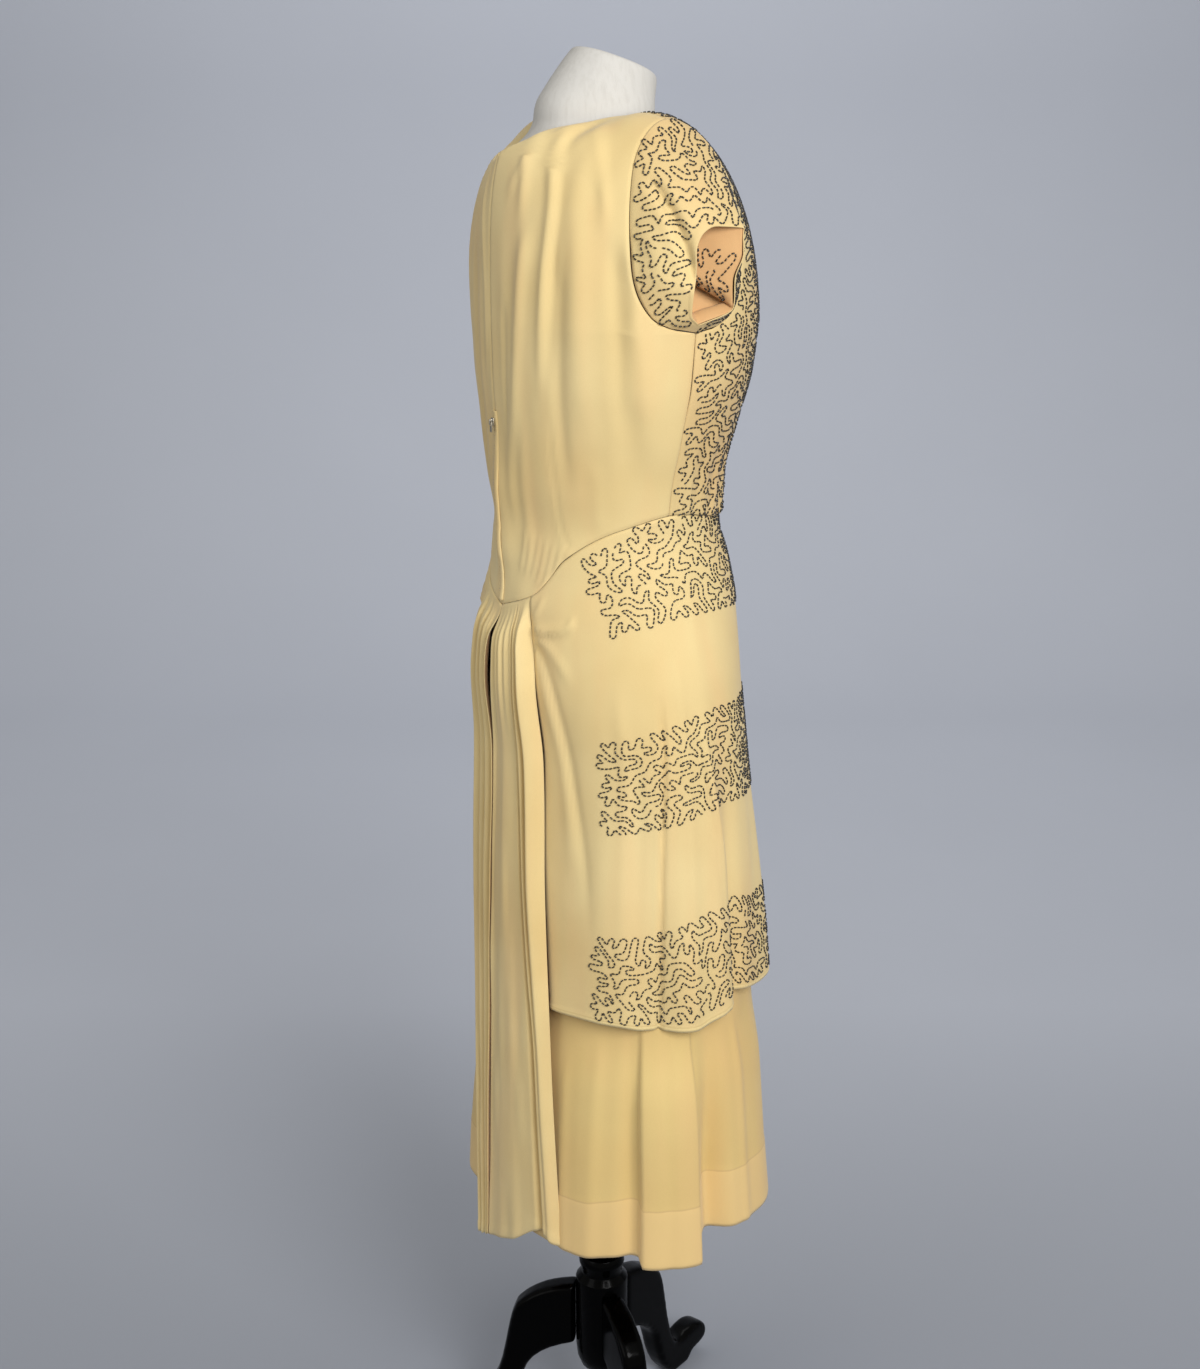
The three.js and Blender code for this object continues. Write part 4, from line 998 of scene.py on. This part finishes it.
def tunicGrid():
    q = np.linspace(0, 1, tunicSet["columns"])[None, :]
    start = tunicSet["start"]
    seamTurn = start + q * (360 - 2 * start)
    down = spread(tunicSet["rows"], 0.06)[::-1, None]
    top = basque(toBack(seamTurn)) - tunicSet["seamGap"]
    height = mix(top, tunicHem(toBack(seamTurn)), down)
    under = 2.4 * smooth(down, 0.12, 0.5) - 0.5
    grown = smooth(down, 0, 0.06)
    first = mix(start, cascade["right"](height) - under, grown)
    last = mix(start, cascade["left"](height) - under, grown)
    turn = mix(first, 360 - last, q)
    out, shift = tunicFolds(turn, height)
    grid = bodyPoint(turn + shift, height, out)
    relief = creaseRelief([scaled(one) for one in tunicCreases], turn * arcMm, height)
    leftSide = [scaled(one, flip=True) for one in tunicCreases[:5]]
    relief += creaseRelief(leftSide, turn * arcMm, height)
    relief += 0.8 * wander(turn * arcMm / 20, height / 110, 41) * smooth(down, 0.02, 0.2)
    relief += seamDip(grid, ["top"]) + hemRoll(grid)
    for away in (turn - first, 360 - last - turn):  # both edges tuck in under the drape
        relief -= tunicSet["tuckDeep"] * np.exp(-((away * arcMm / tunicSet["tuckWide"]) ** 2)) * grown
    return grid + normalsOf(grid) * relief[..., None], turn, height


def scaled(one, flip=False):  # turns a crease placed by degrees into mm, on the other side if flipped
    points = [((360 - turn if flip else turn) * arcMm, height) for turn, height in one["points"]]
    return {**one, "points": points, "lip": one["lip"] * (-1 if flip else 1)}


def makeTunic():
    grid, turn, height = tunicGrid()
    cut = flatten(grid, centre=tunicSet["columns"] // 2)
    grids = [(grid, cut)]
    piece = sew("tunicOverskirt", grids, tunicCrepe, shadedInside=shadedInsideCrepe)
    keepCloth(piece, grids, "hung", ["underskirtCloth", "linenForm"], "overskirt", "crepe")
    return grid, cut, turn, height


# underskirt
underSet = {"columns": 330, "rows": 96, "start": 8, "hem": 333, "sideRise": 8, "frontRise": 14}
insetSet = {"height": [320, 520, 590, 800, 980, 1110], "inset": [0, 5, 13, 13, 9, 2.4]}
underInset = curvesOf(insetSet)["inset"]
underFolds = foldsOf(
    [
        fold(at, width, depth, 650, 400)
        for at, width, depth in (
            (40, 9, 5), (59.5, 4, -7), (97, 6, -22), (126, 8, 4), (150, 8, -9), (172, 9, 6), (200, 8, -10),
            (226, 9, 5), (250, 7, -14), (274, 9, 8), (298, 7, -9), (318, 8, 6), (336, 9, 9),
        )
    ]
)
underCreases = [
    crease([(46, 590), (45, 480), (44, 330)], 8, 1.6, end=0.01),
    crease([(75, 600), (75, 480), (75, 330)], 8, -1.4, end=0.01),
    crease([(112, 600), (112, 480), (112, 340)], 7, 2.2, 1.5, end=0.01),
    crease([(32, 560), (33, 450), (34, 330)], 6, 1.6, end=0.01),
]
boxPleat = {"from": 63.4, "to": 88.2, "proud": 11, "edge": 1.5, "longer": 5.5, "starts": 650, "grows": 170}


def pleatPlateau(turn, height):  # a flat fold of the underskirt, stepped at both sides
    grown = smooth(boxPleat["edge"] / 2 + turn - boxPleat["from"], 0, boxPleat["edge"])
    ended = smooth(turn + boxPleat["edge"] / 2 - boxPleat["to"], 0, boxPleat["edge"])
    return grown * (1 - ended) * smooth(boxPleat["starts"] - height, 0, boxPleat["grows"])


def underGrid():
    q = np.linspace(0, 1, underSet["columns"])[None, :]
    turn = mix(underSet["start"], 360 - underSet["start"], q)
    down = spread(underSet["rows"], 0.08)[::-1, None]
    back = toBack(turn)
    hem = underSet["hem"] + underSet["sideRise"] * smooth(back, 38, 60)
    hem = hem + underSet["frontRise"] * smooth(back, 88, 92)
    hem = hem - boxPleat["longer"] * pleatPlateau(turn, underSet["hem"])
    height = mix(basque(back) - 2, hem, down)
    out, shift = underFolds(turn, height)
    out = out + boxPleat["proud"] * pleatPlateau(turn, height)
    grid = bodyPoint(turn + shift, height, out - underInset(height))
    relief = creaseRelief([scaled(one) for one in underCreases], turn * arcMm, height)
    relief += 0.9 * wander(turn * arcMm / 24, height / 100, 51) * smooth(down, 0.02, 0.2)
    relief += hemRoll(grid, 0.6, 64)
    return grid + normalsOf(grid) * relief[..., None]


def makeUnderskirt():
    grid = underGrid()
    grids = [(grid, flatten(grid, centre=underSet["columns"] // 2))]
    piece = sew("underskirtCloth", grids, shadedHemmedCrepe, shadedInside=shadedInsideCrepe)
    keepCloth(piece, grids, "hung", ["linenForm"], "underskirt", "crepe")


# placket, its stitches and the zip
placketSet = {
    "foot": 1022, "top": 1214, "straight": 1060, "width": 8, "lift": 0.5, "thick": 1.2,
    "rows": 120, "columns": 13, "stitchAt": 2.4, "stitchPitch": 3.4,
}
zipSet = {"pitch": 2.6, "toothWide": 1.3, "toothHigh": 0.9, "foot": 1030, "top": 1198, "aside": 4.3}


def centreBack(height):
    out, _ = backFolds(0.08, height)
    return bodyPoint(0.08, height, out)[..., 1]


def placketBow(height):  # how far the strip waves to the side above its foot
    foot = placketSet["foot"]
    up = height - foot
    return (1.1 * np.sin(up / 31) + 0.5 * np.sin(up / 11)) * smooth(height, foot, placketSet["straight"])


def makePlacket():
    height = np.linspace(placketSet["foot"], placketSet["top"], placketSet["rows"])[:, None]
    t = np.linspace(-1, 1, placketSet["columns"])[None, :]
    x = t * placketSet["width"] / 2 + placketBow(height)
    pillow = placketSet["thick"] * (1 - np.abs(t) ** 5) + 0.35 * np.cos(t * 2.6)
    y = centreBack(height) + placketSet["lift"] + pillow + 0.25 * wander(height / 9, t, 61)
    grid = np.stack(np.broadcast_arrays(x, y, height), axis=-1)
    grids = [(grid, flatten(grid))]
    piece = sew("placketLap", grids, crepe, thick=0.7)
    keepCloth(piece, grids, "laid", ["bodiceBackRight", "bodiceBackLeft"], "placket_lap", "crepe")


def beadShape(sides, half, radius, cap):
    angles = np.linspace(0, 2 * np.pi, sides, endpoint=False)
    rings = [(-half, cap), (-half + radius * 0.5, radius), (half - radius * 0.5, radius), (half, cap)]
    vertices = [(x, r * math.cos(a), r * math.sin(a)) for x, r in rings for a in angles]
    faces = []
    for ring in range(3):
        for k in range(sides):
            a, b = ring * sides + k, ring * sides + (k + 1) % sides
            faces.append((a, b, b + sides, a + sides))
    ends = [tuple(range(sides))[::-1], tuple(range(3 * sides, 4 * sides))]
    return np.array(vertices), faces, ends


def strewn(name, shape, centres, along, upward, finish):  # one joined mesh of copies laid on the cloth
    vertices, faces, ends = shape
    t = along / np.linalg.norm(along, axis=1, keepdims=True)
    n = upward - t * (upward * t).sum(axis=1, keepdims=True)
    n /= np.linalg.norm(n, axis=1, keepdims=True)
    b = np.cross(n, t)
    frames = np.stack([t, b, n], axis=1)
    placed = centres[:, None, :] + np.einsum("vk,ckx->cvx", vertices, frames)
    count = len(vertices)
    allFaces = []
    for i in range(len(centres)):
        shift = i * count
        allFaces += [tuple(k + shift for k in face) for face in faces + ends]
    piece = newPiece(name, toRow(placed.reshape(-1, 3)), allFaces)
    piece.data.materials.append(finish)
    return piece


def makeZipTrim():
    heights = np.arange(zipSet["foot"], zipSet["top"], zipSet["pitch"])
    y = centreBack(heights) + 0.5
    centres = np.stack([np.full_like(heights, zipSet["aside"]), y, heights], axis=1)
    along = np.tile([1.0, 0, 0], (len(heights), 1))
    up = np.tile([0, 1.0, 0], (len(heights), 1))
    tooth = beadShape(6, zipSet["toothWide"], zipSet["toothHigh"] / 2, 0.3)
    teeth = strewn("zipTeeth", tooth, centres, along, up, metal)
    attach(teeth, "dress")
    heights = np.arange(placketSet["foot"] + 6, placketSet["top"] - 3, placketSet["stitchPitch"])
    y = centreBack(heights) + placketSet["lift"] + 1.35
    centres = np.stack([placketSet["stitchAt"] + placketBow(heights), y, heights], axis=1)
    along = np.tile([0.1, 0, 1.0], (len(heights), 1))
    up = np.tile([0, 1.0, 0], (len(heights), 1))
    stitches = strewn("placketStitches", beadShape(6, 1.1, 0.25, 0.1), centres, along, up, thread)
    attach(stitches, "dress")


# smooth versions of the solids that keep their shape
def smoothCopy(node, name, finish, levels=0, angle=None, bevel=None):
    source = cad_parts[node]
    selectOnly(source)
    bpy.ops.object.duplicate()
    piece = bpy.context.object
    piece.name = name
    piece.data.materials.clear()
    weld(piece, quads=True)
    if bevel:
        apply(piece, "BEVEL", width=bevel, segments=2, limit_method="ANGLE", angle_limit=0.6)
    if levels:
        apply(piece, "SUBSURF", levels=levels, render_levels=levels)
    selectOnly(piece)
    if angle:
        bpy.ops.object.shade_smooth_by_angle(angle=math.radians(angle))
    else:
        bpy.ops.object.shade_smooth()
    piece.data.materials.append(finish)
    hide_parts(node)
    return piece


napeSet = {  # the share by which the form is made deeper behind its neck
    "height": [1430, 1452, 1466, 1486, 1505, 1524, 1545],
    "grow": [0, 0.04, 0.08, 0.09, 0.03, -0.05, -0.13],
}


def makeForm():
    piece = smoothCopy("form_torso", "linenForm", linen, levels=2)
    grow = curve(napeSet["height"], napeSet["grow"])
    for vertex in piece.data.vertices:
        x, y = (vertex.co.x - poleX) / mm, (vertex.co.y - poleY) / mm
        middle = 1 - float(smooth(abs(x), 26, 46))
        if y > 0:
            vertex.co.y += y * mm * float(grow(vertex.co.z / mm - 0.3 * y)) * middle
    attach(piece, "dress")


def makeStand():
    for node, name in (("stand_pole", "standPole"), ("stand_hub", "standHub")):
        piece = smoothCopy(node, name, lacquer, angle=35, bevel=0.0012)
        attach(piece, "dress")
    for i in (1, 2, 3):
        piece = smoothCopy(f"stand_leg_{i}", f"standLeg{i}", lacquer)
        apply(piece, "REMESH", mode="VOXEL", voxel_size=0.0024)
        apply(piece, "SMOOTH", factor=0.5, iterations=10)
        selectOnly(piece)
        bpy.ops.object.shade_smooth()
        piece.data.materials.clear()
        piece.data.materials.append(lacquer)
        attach(piece, "dress")


def makeZipSlider():
    zipPieces = (("zip_slider", "zipSlider", "dress"), ("zip_pull_tab", "zipPullTab", "zip_tab"))
    for node, name, rider in zipPieces:
        piece = smoothCopy(node, name, metal, angle=30, bevel=0.00022)
        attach(piece, rider)


# beadwork: one line of beads wanders over each beaded piece and never crosses itself
beadSet = {  # the line's lattice and lobes, then the beads themselves
    "gap": 12.8, "wobble": 0.1, "reach": 0.225, "straight": 0.72, "stray": 1.2, "strayLong": 13,
    "lobeTurn": 1.75, "lobeReach": 1.12, "lobeLeast": 0.72,
    "pitch": 4.3, "long": 3.1, "thick": 1.6, "sides": 5, "crooked": 0.18, "lost": 0.012, "onCloth": 0.2,
}


def treePoints(inside, low, high, gap, rng):  # a loose lattice; the bead line winds round a tree on it
    rows = max(round((high[1] - low[1] - gap * 0.55) / (gap * 0.87)), 1)
    tall = (high[1] - low[1] - gap * 0.55) / rows
    columns = int((high[0] - low[0]) / gap) + 2
    wobble = beadSet["wobble"] * gap
    margin = beadSet["reach"] * gap + 0.6
    points = {}
    for j in range(rows + 1):
        for i in range(columns):
            u = low[0] + (i + 0.5 * (j % 2)) * gap + rng.uniform(-wobble, wobble)
            lift = rng.uniform(-wobble, wobble) * (0.3 if j in (0, rows) else 1)
            v = low[1] + gap * 0.275 + j * tall + lift
            sides = ((0, 0), (margin, 0), (-margin, 0), (0, margin * 0.7), (0, -margin * 0.7))
            if all(inside(u + a, v + b) for a, b in sides):
                points[(i, j)] = (u, v)
    return points


def neighbours(cell):  # the six neighbours of a lattice point
    i, j = cell
    k = i if j % 2 else i - 1
    return [(i + 1, j), (i - 1, j), (k, j + 1), (k + 1, j + 1), (k, j - 1), (k + 1, j - 1)]


def runsOn(points, before, cell, near):  # whether the way on from a cell keeps straight
    came, goes = np.subtract(points[cell], points[before]), np.subtract(points[near], points[cell])
    return came @ goes > beadSet["straight"] * math.hypot(*came) * math.hypot(*goes)


def windingLines(inside, low, high, gap, seed):
    rng = random.Random(seed)
    points = treePoints(inside, low, high, gap, rng)
    rim = {cell for cell in points if sum(near in points for near in neighbours(cell)) < 6}
    seen, lines = set(), []
    for root in points:
        if root in seen:
            continue
        seen.add(root)
        joined = {root: []}
        openPairs = [(root, near, False) for near in neighbours(root) if near in points]
        while openPairs:
            inner = [pair for pair in openPairs if not (pair[0] in rim and pair[1] in rim)]
            bent = [pair for pair in inner if not pair[2]]
            pair = rng.choice(bent or inner or openPairs)
            openPairs.remove(pair)
            cell, near, _ = pair
            if near in seen:
                continue
            seen.add(near)
            joined[cell].append(near)
            joined[near] = [cell]
            free = [ahead for ahead in neighbours(near) if ahead in points and ahead not in seen]
            openPairs += [(near, ahead, runsOn(points, cell, near, ahead)) for ahead in free]
            openPairs = [pair for pair in openPairs if pair[1] not in seen]
        if len(joined) > 2:
            lines.append(walkRound(joined, points, gap))
    return lines


def walkRound(joined, points, gap):  # once round the outside of the tree
    def angle(a, b):
        return math.atan2(points[b][1] - points[a][1], points[b][0] - points[a][0])

    before = next(iter(joined))
    here = joined[before][0]
    first, line = (before, here), []
    while True:
        back = angle(here, before)
        turns = [((angle(here, near) - back) % (2 * math.pi) or 2 * math.pi, near) for near in joined[here]]
        turn, ahead = min(turns)
        count = max(round(turn / beadSet["lobeTurn"]), 1)
        for k in range(count):
            step = turn * (k + 1) / (count + 1)
            away = min(step, turn - step, math.pi / 2)
            far = beadSet["reach"] * gap * beadSet["lobeReach"] / max(math.sin(away), beadSet["lobeLeast"])
            x, y = points[here]
            line.append([x + far * math.cos(back + step), y + far * math.sin(back + step)])
        before, here = here, ahead
        if (before, here) == first:
            return np.array(line)


def rounded(line, times=2):  # cuts the corners of a closed line
    for _ in range(times):
        ahead = np.roll(line, -1, axis=0)
        line = np.stack([line * 0.75 + ahead * 0.25, line * 0.25 + ahead * 0.75], axis=1).reshape(-1, 2)
    return line


class BeadGround:  # finds the place on the cloth that a point of its flat cut comes to
    def __init__(self, parts, closed=False):
        corners, places, normals, triangles, first = [], [], [], [], 0
        for flat, points, away in parts:
            rows, columns = flat.shape[:2]
            quads = gridFaces(rows, columns, closed).reshape(-1, 4) + first
            triangles += [quads[:, [0, 1, 2]], quads[:, [0, 2, 3]]]
            corners.append(flat.reshape(-1, 2))
            places.append(points.reshape(-1, 3))
            normals.append(away.reshape(-1, 3))
            first += rows * columns
        self.corners, self.places = np.vstack(corners), np.vstack(places)
        self.normals, self.triangles = np.vstack(normals), np.vstack(triangles)
        flatPoints = [(float(u), float(v), 0.0) for u, v in self.corners]
        self.tree = BVHTree.FromPolygons(flatPoints, self.triangles.tolist())

    def find(self, u, v):
        spot, _, index, gap = self.tree.find_nearest((u, v, 0))
        k = self.triangles[index]
        a, b, c = self.corners[k]
        ab, ac, ap = b - a, c - a, np.array(spot[:2]) - a
        size = ab[0] * ac[1] - ab[1] * ac[0]
        if abs(size) < 1e-9:
            return gap, self.places[k[0]], self.normals[k[0]]
        s = (ap[0] * ac[1] - ap[1] * ac[0]) / size
        t = (ab[0] * ap[1] - ab[1] * ap[0]) / size
        weights = np.array([1 - s - t, s, t])
        return gap, weights @ self.places[k], weights @ self.normals[k]


def layBeads(name, ground, inside, low, high, seed):
    radius = beadSet["thick"] / 2
    shape = beadShape(beadSet["sides"], beadSet["long"] / 2, radius, radius * 0.45)
    centres, alongs, ups = [], [], []
    rng = np.random.default_rng(seed)
    for line in windingLines(inside, low, high, beadSet["gap"], seed):
        line = rounded(line)
        u, v = line.T / beadSet["strayLong"]
        stray = np.stack([wander(u, v, seed), wander(u + 31, v + 17, seed)], axis=1)
        line = line + stray * beadSet["stray"]
        found = [ground.find(u, v) for u, v in line]
        gaps = np.array([gap for gap, _, _ in found])
        points = np.array([place for _, place, _ in found])
        away = np.array([normal for _, _, normal in found])
        points = np.vstack([points, points[:1]])
        away = np.vstack([away, away[:1]])
        gaps = np.append(gaps, gaps[0])
        length = np.concatenate([[0], np.cumsum(np.linalg.norm(np.diff(points, axis=0), axis=1))])
        count = max(int(length[-1] / beadSet["pitch"]), 1)
        at = (np.arange(count) + rng.uniform(-0.08, 0.08, count)) * length[-1] / count
        half = beadSet["long"] / 2

        def read(values, where):
            where = where % length[-1]
            return np.stack([np.interp(where, length, column) for column in values.T], axis=1)

        centre = (read(points, at - half) + read(points, at + half)) / 2
        along = read(points, at + half) - read(points, at - half)
        up = read(away, at)
        held = np.interp(at, length, gaps) < beadSet["onCloth"]
        held &= np.linalg.norm(along, axis=1) > half
        held &= rng.random(count) > beadSet["lost"]
        along += rng.normal(0, beadSet["crooked"], along.shape)
        centres.append((centre + up * radius * 0.85)[held])
        alongs.append(along[held])
        ups.append(up[held])
    centres, alongs, ups = np.vstack(centres), np.vstack(alongs), np.vstack(ups)
    piece = strewn(name, shape, centres, alongs, ups, beadGlass)
    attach(piece, "dress")
    print(name, len(centres), "beads")
    return piece


def beadPiece(name, parts, seed, closed=False, inside=None):  # beads all over a piece, or where inside says
    ground = BeadGround(parts, closed)

    def onCloth(u, v):
        return ground.find(u, v)[0] < beadSet["onCloth"]

    low, high = ground.corners.min(0), ground.corners.max(0)
    return layBeads(name, ground, inside or onCloth, low, high, seed)


def beadFront(grids):
    return beadPiece("frontBeads", [(cut, points, normalsOf(points)) for points, cut in grids], 71)


def beadSleeve(name, grids, core):
    points, cut = grids[0]
    wrapped = np.concatenate([points[:, -1:], points, points[:, :1]], axis=1)
    away = normalsOf(wrapped, core)[:, 1:-1]
    return beadPiece(f"sleeveBeads{name.title()}", [(cut, points, away)], 72, closed=True)


def beadFlap(name, grids, core):
    points, cut = grids[0]
    rise = np.linspace(0, 1, points.shape[0])[:, None] + np.linspace(0, 0.2, points.shape[1])[None, :]
    worn = np.stack([rise, rise, rise], axis=-1)
    mask = BeadGround([(cut, worn, worn)])

    def inside(u, v):
        gap, place, _ = mask.find(u, v)
        return gap < beadSet["onCloth"] and place[0] < flapSet["beadedTo"]

    parts = [(cut, points, normalsOf(points, core))]
    return beadPiece(f"flapBeads{name.title()}", parts, 75, inside=inside)


# the three beaded bands of the tunic, by turn: where each ends at the back, its upper and lower edge
bandSet = [
    {
        "name": "hipBand", "seed": 81, "endHigh": 40, "endLow": 54,
        "turn": [40, 54, 66, 88, 104, 129, 180],
        "upper": [1082, 1100, 1110, 1118, 1118, 1110, 1097],
        "lower": [1002, 1002, 1011, 1020, 1022, 1017, 1012],
    },
    {
        "name": "middleBand", "seed": 82, "endHigh": 46.5, "endLow": 46,
        "turn": [44, 66, 82, 103, 128, 180],
        "upper": [900, 912, 922, 932, 930, 931],
        "lower": [803, 812, 820, 830, 825, 823],
    },
    {
        "name": "lowerBand", "seed": 83, "endHigh": 43.5, "endLow": 43.5,
        "turn": [44, 64, 84, 94, 105, 127, 180],
        "upper": [699, 702, 716, 724, 728, 717, 714],
        "lower": [608, 604, 606, 616, 628, 618, 617],
    },
]


def beadBand(band, grid, cut, turn, height):
    back = toBack(turn)
    upper = curve(band["turn"], band["upper"])(back)
    lower = curve(band["turn"], band["lower"])(back)
    rise = (height - lower) / (upper - lower)
    tall = float(np.median(upper - lower))
    flat = np.stack([np.broadcast_to(cut[..., 0], rise.shape), rise * tall], axis=-1)
    ground = BeadGround([(flat, grid, normalsOf(grid))])
    edge = mix(band["endLow"], band["endHigh"], np.clip(rise, 0, 1))
    worn = np.stack([np.where(back > edge, 1.0, 0.0), rise, back], axis=-1)
    mask = BeadGround([(flat, worn, worn)])

    def inside(u, v):
        gap, place, _ = mask.find(u, v)
        return gap < 1 and place[0] > 0.5

    chosen = flat[(back > min(band["endLow"], band["endHigh"])) & (rise > 0) & (rise < 1)]
    low, high = chosen.min(0), chosen.max(0)
    low[1], high[1] = 0, tall - 0.01
    return layBeads(band["name"], ground, inside, low, high, band["seed"])


# room
roomSet = {
    "backdrop": "B4B8C2", "shadowed": "878B94", "sky": "E6E5E1", "skyPower": 0.6,
    "wallAt": 4.2, "wallTall": 5.0,
    "key": {"place": (-2.4, 0.15, 2.1), "size": 1.5, "power": 56, "aim": (0, 0, 0.95)},
    "fill": {"place": (-0.5, 2.7, 1.5), "size": 1.6, "power": 8.5, "aim": (0, 0, 0.9)},
    "back": {"place": (1.6, -1.0, 3.6), "size": 2.5, "power": 55, "aim": (3.9, -2.1, 1.6)},
}


def addLight(name, place, size, power, aim):
    bpy.ops.object.light_add(type="AREA", location=(place[0] + poleX, place[1] + poleY, place[2]))
    lamp = bpy.context.object
    lamp.name = name
    away = lamp.location - Vector((aim[0] + poleX, aim[1] + poleY, aim[2]))
    lamp.rotation_euler = away.to_track_quat("Z", "Y").to_euler()
    lamp.data.shape = "DISK"
    lamp.data.size = size
    lamp.data.energy = power
    lamp.visible_camera = False


def makeBackdrop(material):  # a floor that sweeps up into a wall beyond the dress
    bpy.ops.object.select_all(action="DESELECT")
    bpy.ops.mesh.primitive_plane_add(size=24)
    floor = bpy.context.object
    floor.name = "studioFloor"
    bpy.ops.object.mode_set(mode="EDIT")
    bpy.ops.mesh.select_mode(type="EDGE")
    bpy.ops.mesh.select_all(action="DESELECT")
    bpy.ops.object.mode_set(mode="OBJECT")
    for vertex in floor.data.vertices:
        if vertex.co.y > 0:
            vertex.co.y = roomSet["wallAt"]
    for edge in floor.data.edges:
        edge.select = all(floor.data.vertices[k].co.y > 1 for k in edge.vertices)
    bpy.ops.object.mode_set(mode="EDIT")
    bpy.ops.mesh.extrude_region_move(TRANSFORM_OT_translate={"value": (0, 0, roomSet["wallTall"])})
    bpy.ops.object.mode_set(mode="OBJECT")
    apply(floor, "BEVEL", width=1.5, segments=24, limit_method="ANGLE", angle_limit=0.5)
    floor.rotation_euler.z = math.radians(cameraSet["around"])
    floor.location = (poleX, poleY, 0)
    selectOnly(floor)
    bpy.ops.object.transform_apply(location=True, rotation=True, scale=True)
    bpy.ops.object.shade_smooth()
    floor.data.materials.append(material)


def makeRoom():
    recipe = Recipe("studio backdrop")
    where = recipe.node("ShaderNodeTexCoord", out="Object")
    x = recipe.node("ShaderNodeSeparateXYZ", None, where, out="X")
    y = recipe.node("ShaderNodeSeparateXYZ", None, where, out="Y")
    around = math.radians(cameraSet["around"])
    far = x * -math.sin(around) + y * math.cos(around)
    lit = recipe.ramp(far, -0.35, 1.1)
    dust = recipe.ramp(recipe.noise(1.6, 3.0), 0.35, 0.7)
    paper = recipe.blend(dust * 0.1, shade(roomSet["backdrop"]), shade("A2A6B0"))
    recipe.set(Base_Color=recipe.blend(lit, shade(roomSet["shadowed"]), paper), Roughness=0.85)
    makeBackdrop(recipe.material)
    world = bpy.data.worlds.new("sky") if not bpy.data.worlds else bpy.data.worlds[0]
    bpy.context.scene.world = world
    world.use_nodes = True
    sky = world.node_tree.nodes["Background"]
    sky.inputs["Color"].default_value = shade(roomSet["sky"])
    sky.inputs["Strength"].default_value = roomSet["skyPower"]
    addLight("keyLight", **roomSet["key"])
    addLight("fillLight", **roomSet["fill"])
    addLight("backLight", **roomSet["back"])
    bpy.context.scene.view_settings.view_transform = "Standard"


makeRoom()
print("room made")
makeBodiceBacks()
frontGrids = makeBodiceFront()
sleeves = makeSleeves()
flaps = makeArmholes()
print("bodice made")
makeCascade()
tunic = makeTunic()
makeUnderskirt()
makePlacket()
print("skirts made")
trims = {
    "bodiceFront": [beadFront(frontGrids)],
    "tunicOverskirt": [beadBand(band, *tunic) for band in bandSet],
}
for side, (grids, core) in sleeves.items():
    trims[f"sleeve{side.title()}"] = [beadSleeve(side, grids, core)]
for side, (grids, core) in flaps.items():
    trims[f"armholeFlap{side.title()}"] = [beadFlap(side, grids, core)]
print("beads laid")
makeZipTrim()
makeForm()
makeStand()
makeZipSlider()
print("form, stand and zip made")
for cloth in cloths:
    declareCloth(**cloth, trim=trims.get(cloth["piece"].name, ()))
